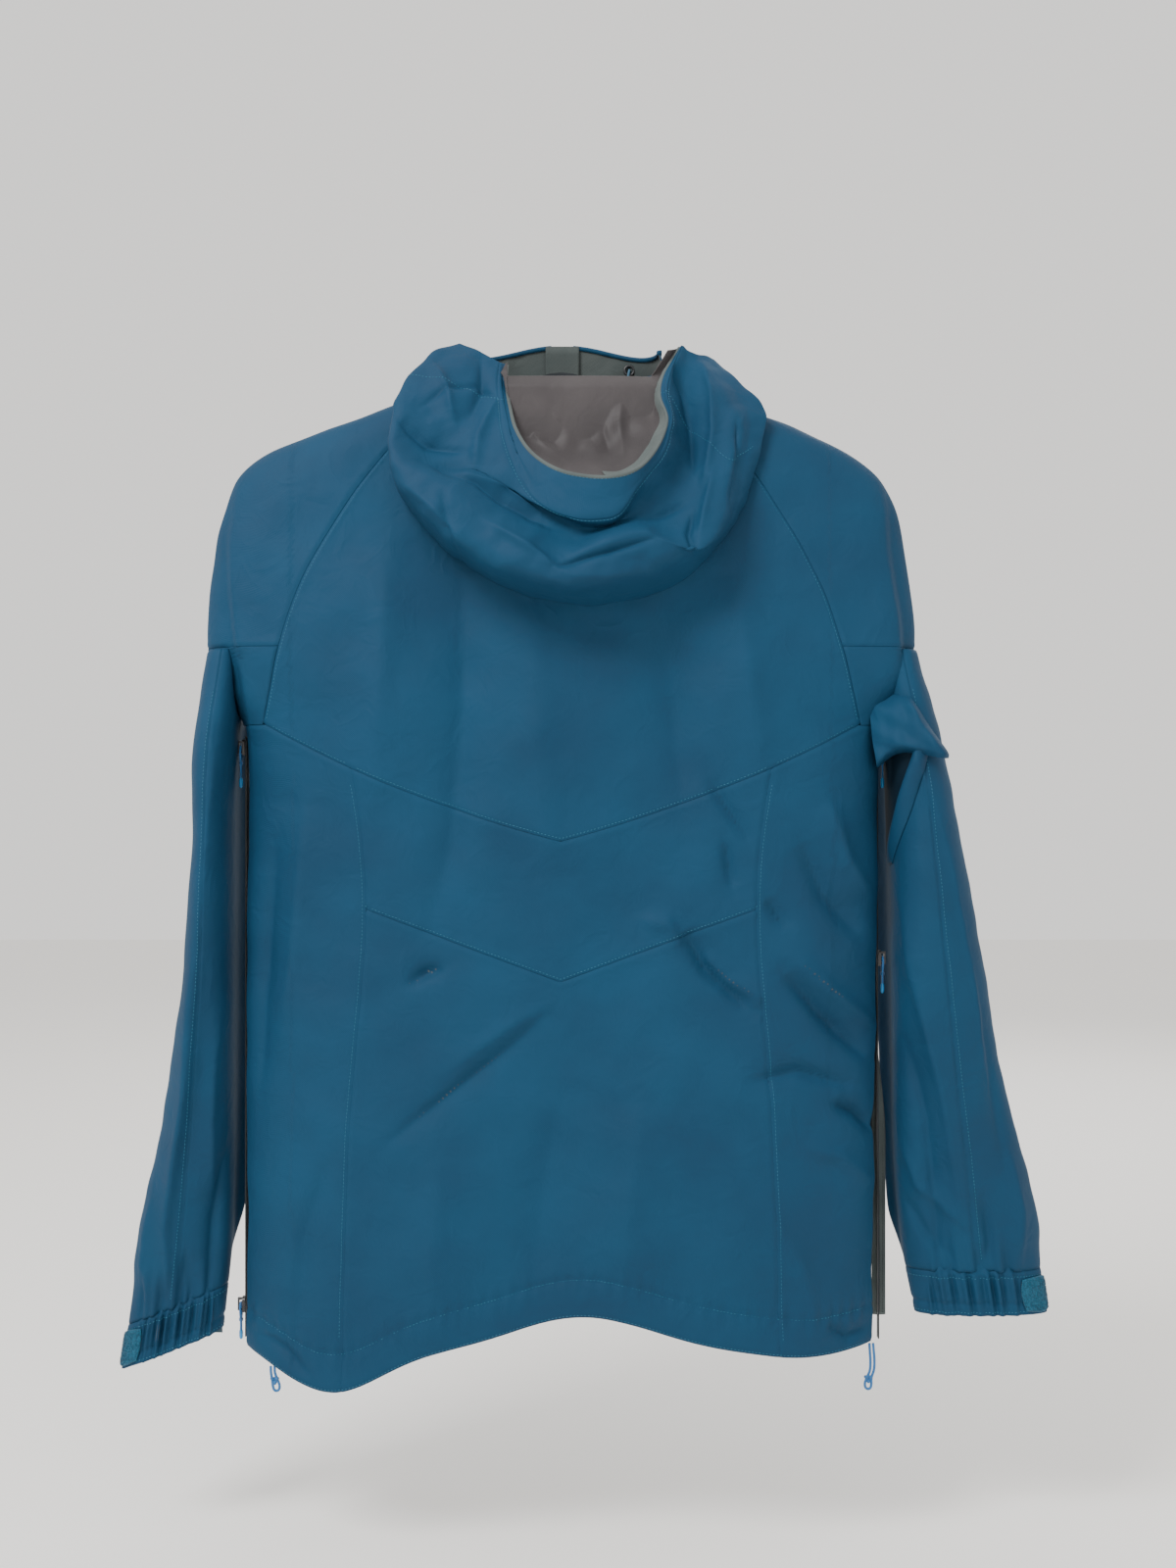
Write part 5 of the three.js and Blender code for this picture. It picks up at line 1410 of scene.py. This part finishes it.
def turned_out(z):
    """How far the facing's free edge stands out: 8.5 mm from 110 mm below its top."""
    return 8.5 * smooth((FACING_TOP - z) / 110)


z = np.linspace(FACING_TOP, -694, 90)
lower = smooth((FACING_TOP - z) / 160)
across = np.linspace(0, 1, 9)[None, :, None]
sewn_edge = np.stack([0 * z + 237.2, 7.0 + 4.5 * lower, z], 1)[:, None]
free_edge = np.stack([239.2 + turned_out(z), 9.5 + 1.5 * lower, z], 1)[:, None]
grid = mix(sewn_edge, free_edge, across)
grid[..., 1] -= 1.2 * np.sin(np.pi * across[..., 0])
piece = sheet_piece("side_zip_right_facing", grid, grey_tape, "jacket", thickness=0.7,
                    away=BACKWARDS)
dark_thread = material("dark_thread", 0.7, (0.012, 0.02, 0.025))[0]

# The storm flap behind the front zip, a strip of the grey cloth folded and stitched along both sides.
z = np.linspace(52.5, FRONT_HEM_Z, 120)
x = np.linspace(-13, 13, 19)
grid = np.stack(np.broadcast_arrays(x[None], (front_depth(z) - 3.9)[:, None], z[:, None]), -1).astype(float)
grid[..., 1] -= 0.35 * np.sin(z * 0.16 + 0.8)[:, None] * np.cos(x / 13 * 1.3)[None]
piece = sheet_piece("front_storm_flap_cloth", grid, collar_cloth, "jacket", thickness=0.9,
                    away=FORWARDS)
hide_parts("front_storm_flap")

# ---- Zip pulls ----
# Each slider carries a loop of bright blue cord through its bridge. The loop's two strands are wrapped
# together below it, and run down into a moulded end.
pull_grip = moulded("pull_grip", (0.008, 0.17, 0.40), 0.4)


def cord_pull(node, out, side, tail):
    """Two strands hang from the slider's bridge, meet, and run down together into the moulded end."""
    low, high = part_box(node)
    top = np.array([(low.x + high.x) / 2, (low.y + high.y) / 2, high.z]) * 1000 - [0, 0, 0.6]
    out, side = np.array(out, float), np.array(side, float)
    top = top + out * (0.7 if out[1] else 0.0)  # the front one stands clear of its slider
    for name, sign in SIDES.items():
        route = np.array([[0.0, 0.9], [2.6, 0.5], [4.3, -1.8], [4.1, -6.0], [2.3, -10.2], [0.95, -12.6],
                          [0.9, -12 - tail * 0.5], [0.9, -9.5 - tail]])
        line = top + sign * route[:, :1] * side + route[:, 1:] * [0, 0, 1]
        rod(f"{node}_strand_{name}", spline_rows(line, 44), 0.85, cord_blue, node_body[node], 8)
    share = np.linspace(0, 1, 16)
    end_line = top + np.stack([0 * share, 0 * share, -9.0 - tail - 8.0 * share], 1)
    swell = 2.3 * np.sqrt(np.clip(1 - (2 * share - 1) ** 4, 0.04, 1)) + 0.12 * np.sin(share * 34)
    grip = rod(f"{node}_grip", end_line, swell * 0.62, pull_grip, node_body[node], 14)
    knot_line = top + np.stack([0 * share, 0 * share, -10.2 - 3.4 * share], 1)
    rod(f"{node}_wrap", knot_line, 1.6 * np.sqrt(np.clip(1 - (2 * share - 1) ** 4, 0.05, 1)), cord_blue,
        node_body[node], 12)
    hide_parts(node)


node_body = {node: body for body, nodes in frame["record"]["behaviour"]["bodies"].items() for node in nodes}
for name, side in SIDES.items():
    for which, tail in (("upper", 14), ("lower", 10)):
        cord_pull(f"side_zip_pull_{name}_{which}", [side, 0, 0], [0, 1, 0], tail)
cord_pull("front_zip_pull", [0, 1, 0], [1, 0, 0], 16)

# The sliders are black enamelled castings; the cord lock is black plastic and its plunger the pulls' blue;
# the pocket zips are welded strips of the same coated tape, and the hanging loop is folded tape.
enamel = moulded("enamel", (0.012, 0.012, 0.014), 0.28, 2200.0)


def coil_strip():
    """A closed zip's strip: dark tape with coil turns across its middle, from waves along its length."""
    made, tree, shader = material("coil_strip", 0.65)
    place = add_node(tree, "ShaderNodeTexCoord").outputs["Object"]
    turns = add_node(tree, "ShaderNodeTexWave", {"Vector": place, "Scale": 190}, bands_direction="Z")
    colour_between(tree, shader, turns.outputs["Fac"], (0.006, 0.007, 0.009), (0.035, 0.04, 0.045))
    relief(tree, shader, turns.outputs["Fac"], 0.7, 0.0004)
    return made


coil = coil_strip()
KEPT = {
    "front_zip_slider": enamel, "chest_pocket_slider": enamel, "chest_pocket_zip": coil,
    "hood_cord_lock_barrel": black_plastic, "hood_cord_lock_plunger": pull_grip, "hang_loop": tape_cloth,
}
for name in SIDES:
    KEPT[f"hand_pocket_{name}_zip"] = coil
    KEPT[f"hand_pocket_{name}_slider"] = enamel
    KEPT[f"side_zip_slider_{name}_upper"] = enamel
    KEPT[f"side_zip_slider_{name}_lower"] = enamel
for node, finish in KEPT.items():
    kept = bpy.data.objects[node]
    kept.data.materials.clear()
    kept.data.materials.append(finish)

# ---- Cord knots ----
# Each hem cord is doubled back and tied in a small overhand knot below the hem. The knot is a closed
# turn of the same cord, drawn tight round both strands.
for name, offset in {"left": (1.6, -10.5), "right": (-2.2, -26.5)}.items():
    low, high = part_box(f"hem_cord_{name}")
    cord_exit = np.array([HEM_CORD_X[name], (low.y + high.y) / 2, high.z]) * 1000
    centre = cord_exit + [offset[0], 0, offset[1]]
    t = np.linspace(0, 2 * np.pi, 60)
    line = centre + np.stack([2.0 * np.sin(t) + 0.7 * np.sin(2 * t), 1.3 * np.cos(3 * t) * 0.6,
                              1.7 * np.cos(t) - 0.9 * np.cos(2 * t)], 1)
    rod(f"hem_cord_{name}_knot", line, 1.15, cord_blue, "jacket", 10)

# ---- Stitching ----
# Single rows of teal thread: beside the chevrons and the princess seams, down the raglans, 28 mm above the
# hem, and round the cuffs and down the sleeves' back and front seams.


def row_of_stitches(line, normal, spacing):
    """Evenly spaced places along a line, with the way along, across and out at each."""
    lengths = distances(line)
    at = np.arange(spacing / 2, lengths[-1], spacing)
    along = (values_at(np.minimum(at + 0.5, lengths[-1]), lengths, line)
             - values_at(np.maximum(at - 0.5, 0), lengths, line))
    along /= np.linalg.norm(along, axis=1, keepdims=True)
    across = np.cross(values_at(at, lengths, normal), along)
    across /= np.linalg.norm(across, axis=1, keepdims=True)
    return values_at(at, lengths, line), along, across, np.cross(along, across)


def stitches(name, rows, finish=thread_teal, body="jacket", spacing=2.7, size=(1.75, 0.5, 0.3)):
    """Many rows of stitches as one piece, each row a line and the way out of the cloth along it."""
    made = [row_of_stitches(line, normal, spacing) for line, normal in rows]
    places, along, across, out = (np.concatenate([row[k] for row in made]) for k in range(4))
    return crystals(name, places, along, across, out, size, finish, body)


def back_row(x, z):
    """A line on the raised back, through places x, z: the middle row of a ribbon 2 mm wide."""
    step = np.stack([np.gradient(x), np.gradient(z)], 1)
    step /= np.linalg.norm(step, axis=1, keepdims=True)
    sideways = np.array([-1.0, 0, 1.0])[:, None]
    x, z = x - sideways * step[:, 1], z + sideways * step[:, 0]
    outer = raised(body_point(back_phi(x, z), z))
    normal = facing(outer, away_from_body(outer))[1]
    return outer[1] + normal * 0.12, normal


BESIDE = 2.2  # a row of stitches runs this far from its seam
t = np.linspace(-1, 1, 260)
wide = t * 150
rows = [back_row(wide, yoke_z(wide) + BESIDE), back_row(wide * 0.97, lower_seam_z(wide * 0.97) + BESIDE)]
for side in (1, -1):
    outer_x = np.linspace(158, 216, 60) * side
    rows.append(back_row(outer_x, np.minimum(yoke_z(outer_x), -246) + BESIDE))
    z = np.linspace(-288, -698, 260)
    rows.append(back_row(side * (princess_x(z) + BESIDE), z))
    z = np.linspace(-240, 10, 170)
    rows.append(back_row(side * (raglan_x(z) - BESIDE), z))
stitches("back_seam_stitches", rows)
wide = t * 228
stitches("hem_stitches", [back_row(wide, hem_z(wide) + 27.5), back_row(wide, hem_z(wide) + 1.6)])
z = np.linspace(-470, -692, 120)
facing_line = np.stack([237.2 + 0.8 * (2.0 + turned_out(z)), 0 * z + 9.9, z], 1)
stitches("side_zip_right_facing_stitches", [(facing_line, np.broadcast_to(BACKWARDS, facing_line.shape))],
         dark_thread, spacing=2.4, size=(1.5, 0.6, 0.5))



def lifted(grid, normal, where, lift):
    """A row of stitches on part of a grid: its line, lifted off the cloth, and the way out."""
    return grid[where] + normal[where] * lift, normal[where]


# Brim stitches follow the stiffened band's lower edge, and one row crosses each side of the hood.
hood_normal = facing(hood_outer, out_of_hood)
BRIM_ROW = 53  # the row of the hood's grid just past the brim's lower edge
rows = [lifted(hood_outer, hood_normal, np.s_[BRIM_ROW, 30:250], 0.15),
        lifted(hood_outer, hood_normal, np.s_[5, 4:-4], 0.1)]
rows += [lifted(hood_outer, hood_normal, np.s_[8:138, column], 0.12) for column in (32, 244)]
piece = stitches("hood_stitches", rows, body=None)
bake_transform(piece)

for name, spec in SLEEVES.items():
    outer = cuff_band(spec)[1]
    normal = tube_normals(outer, spec)
    rows = [lifted(outer, normal, row, 0.2) for row in (7, 27)]
    stitches(f"cuff_{name}_stitches", rows, body=f"sleeve_{name}", spacing=2.6)
    outer = sleeve_tube(spec)[1]
    normal = tube_normals(outer, spec)
    rows = [lifted(outer, normal, np.s_[12:-3, column], 0.15) for column in (2, 77)]
    bend_with_sleeve(stitches(f"sleeve_{name}_stitches", rows, body=None))
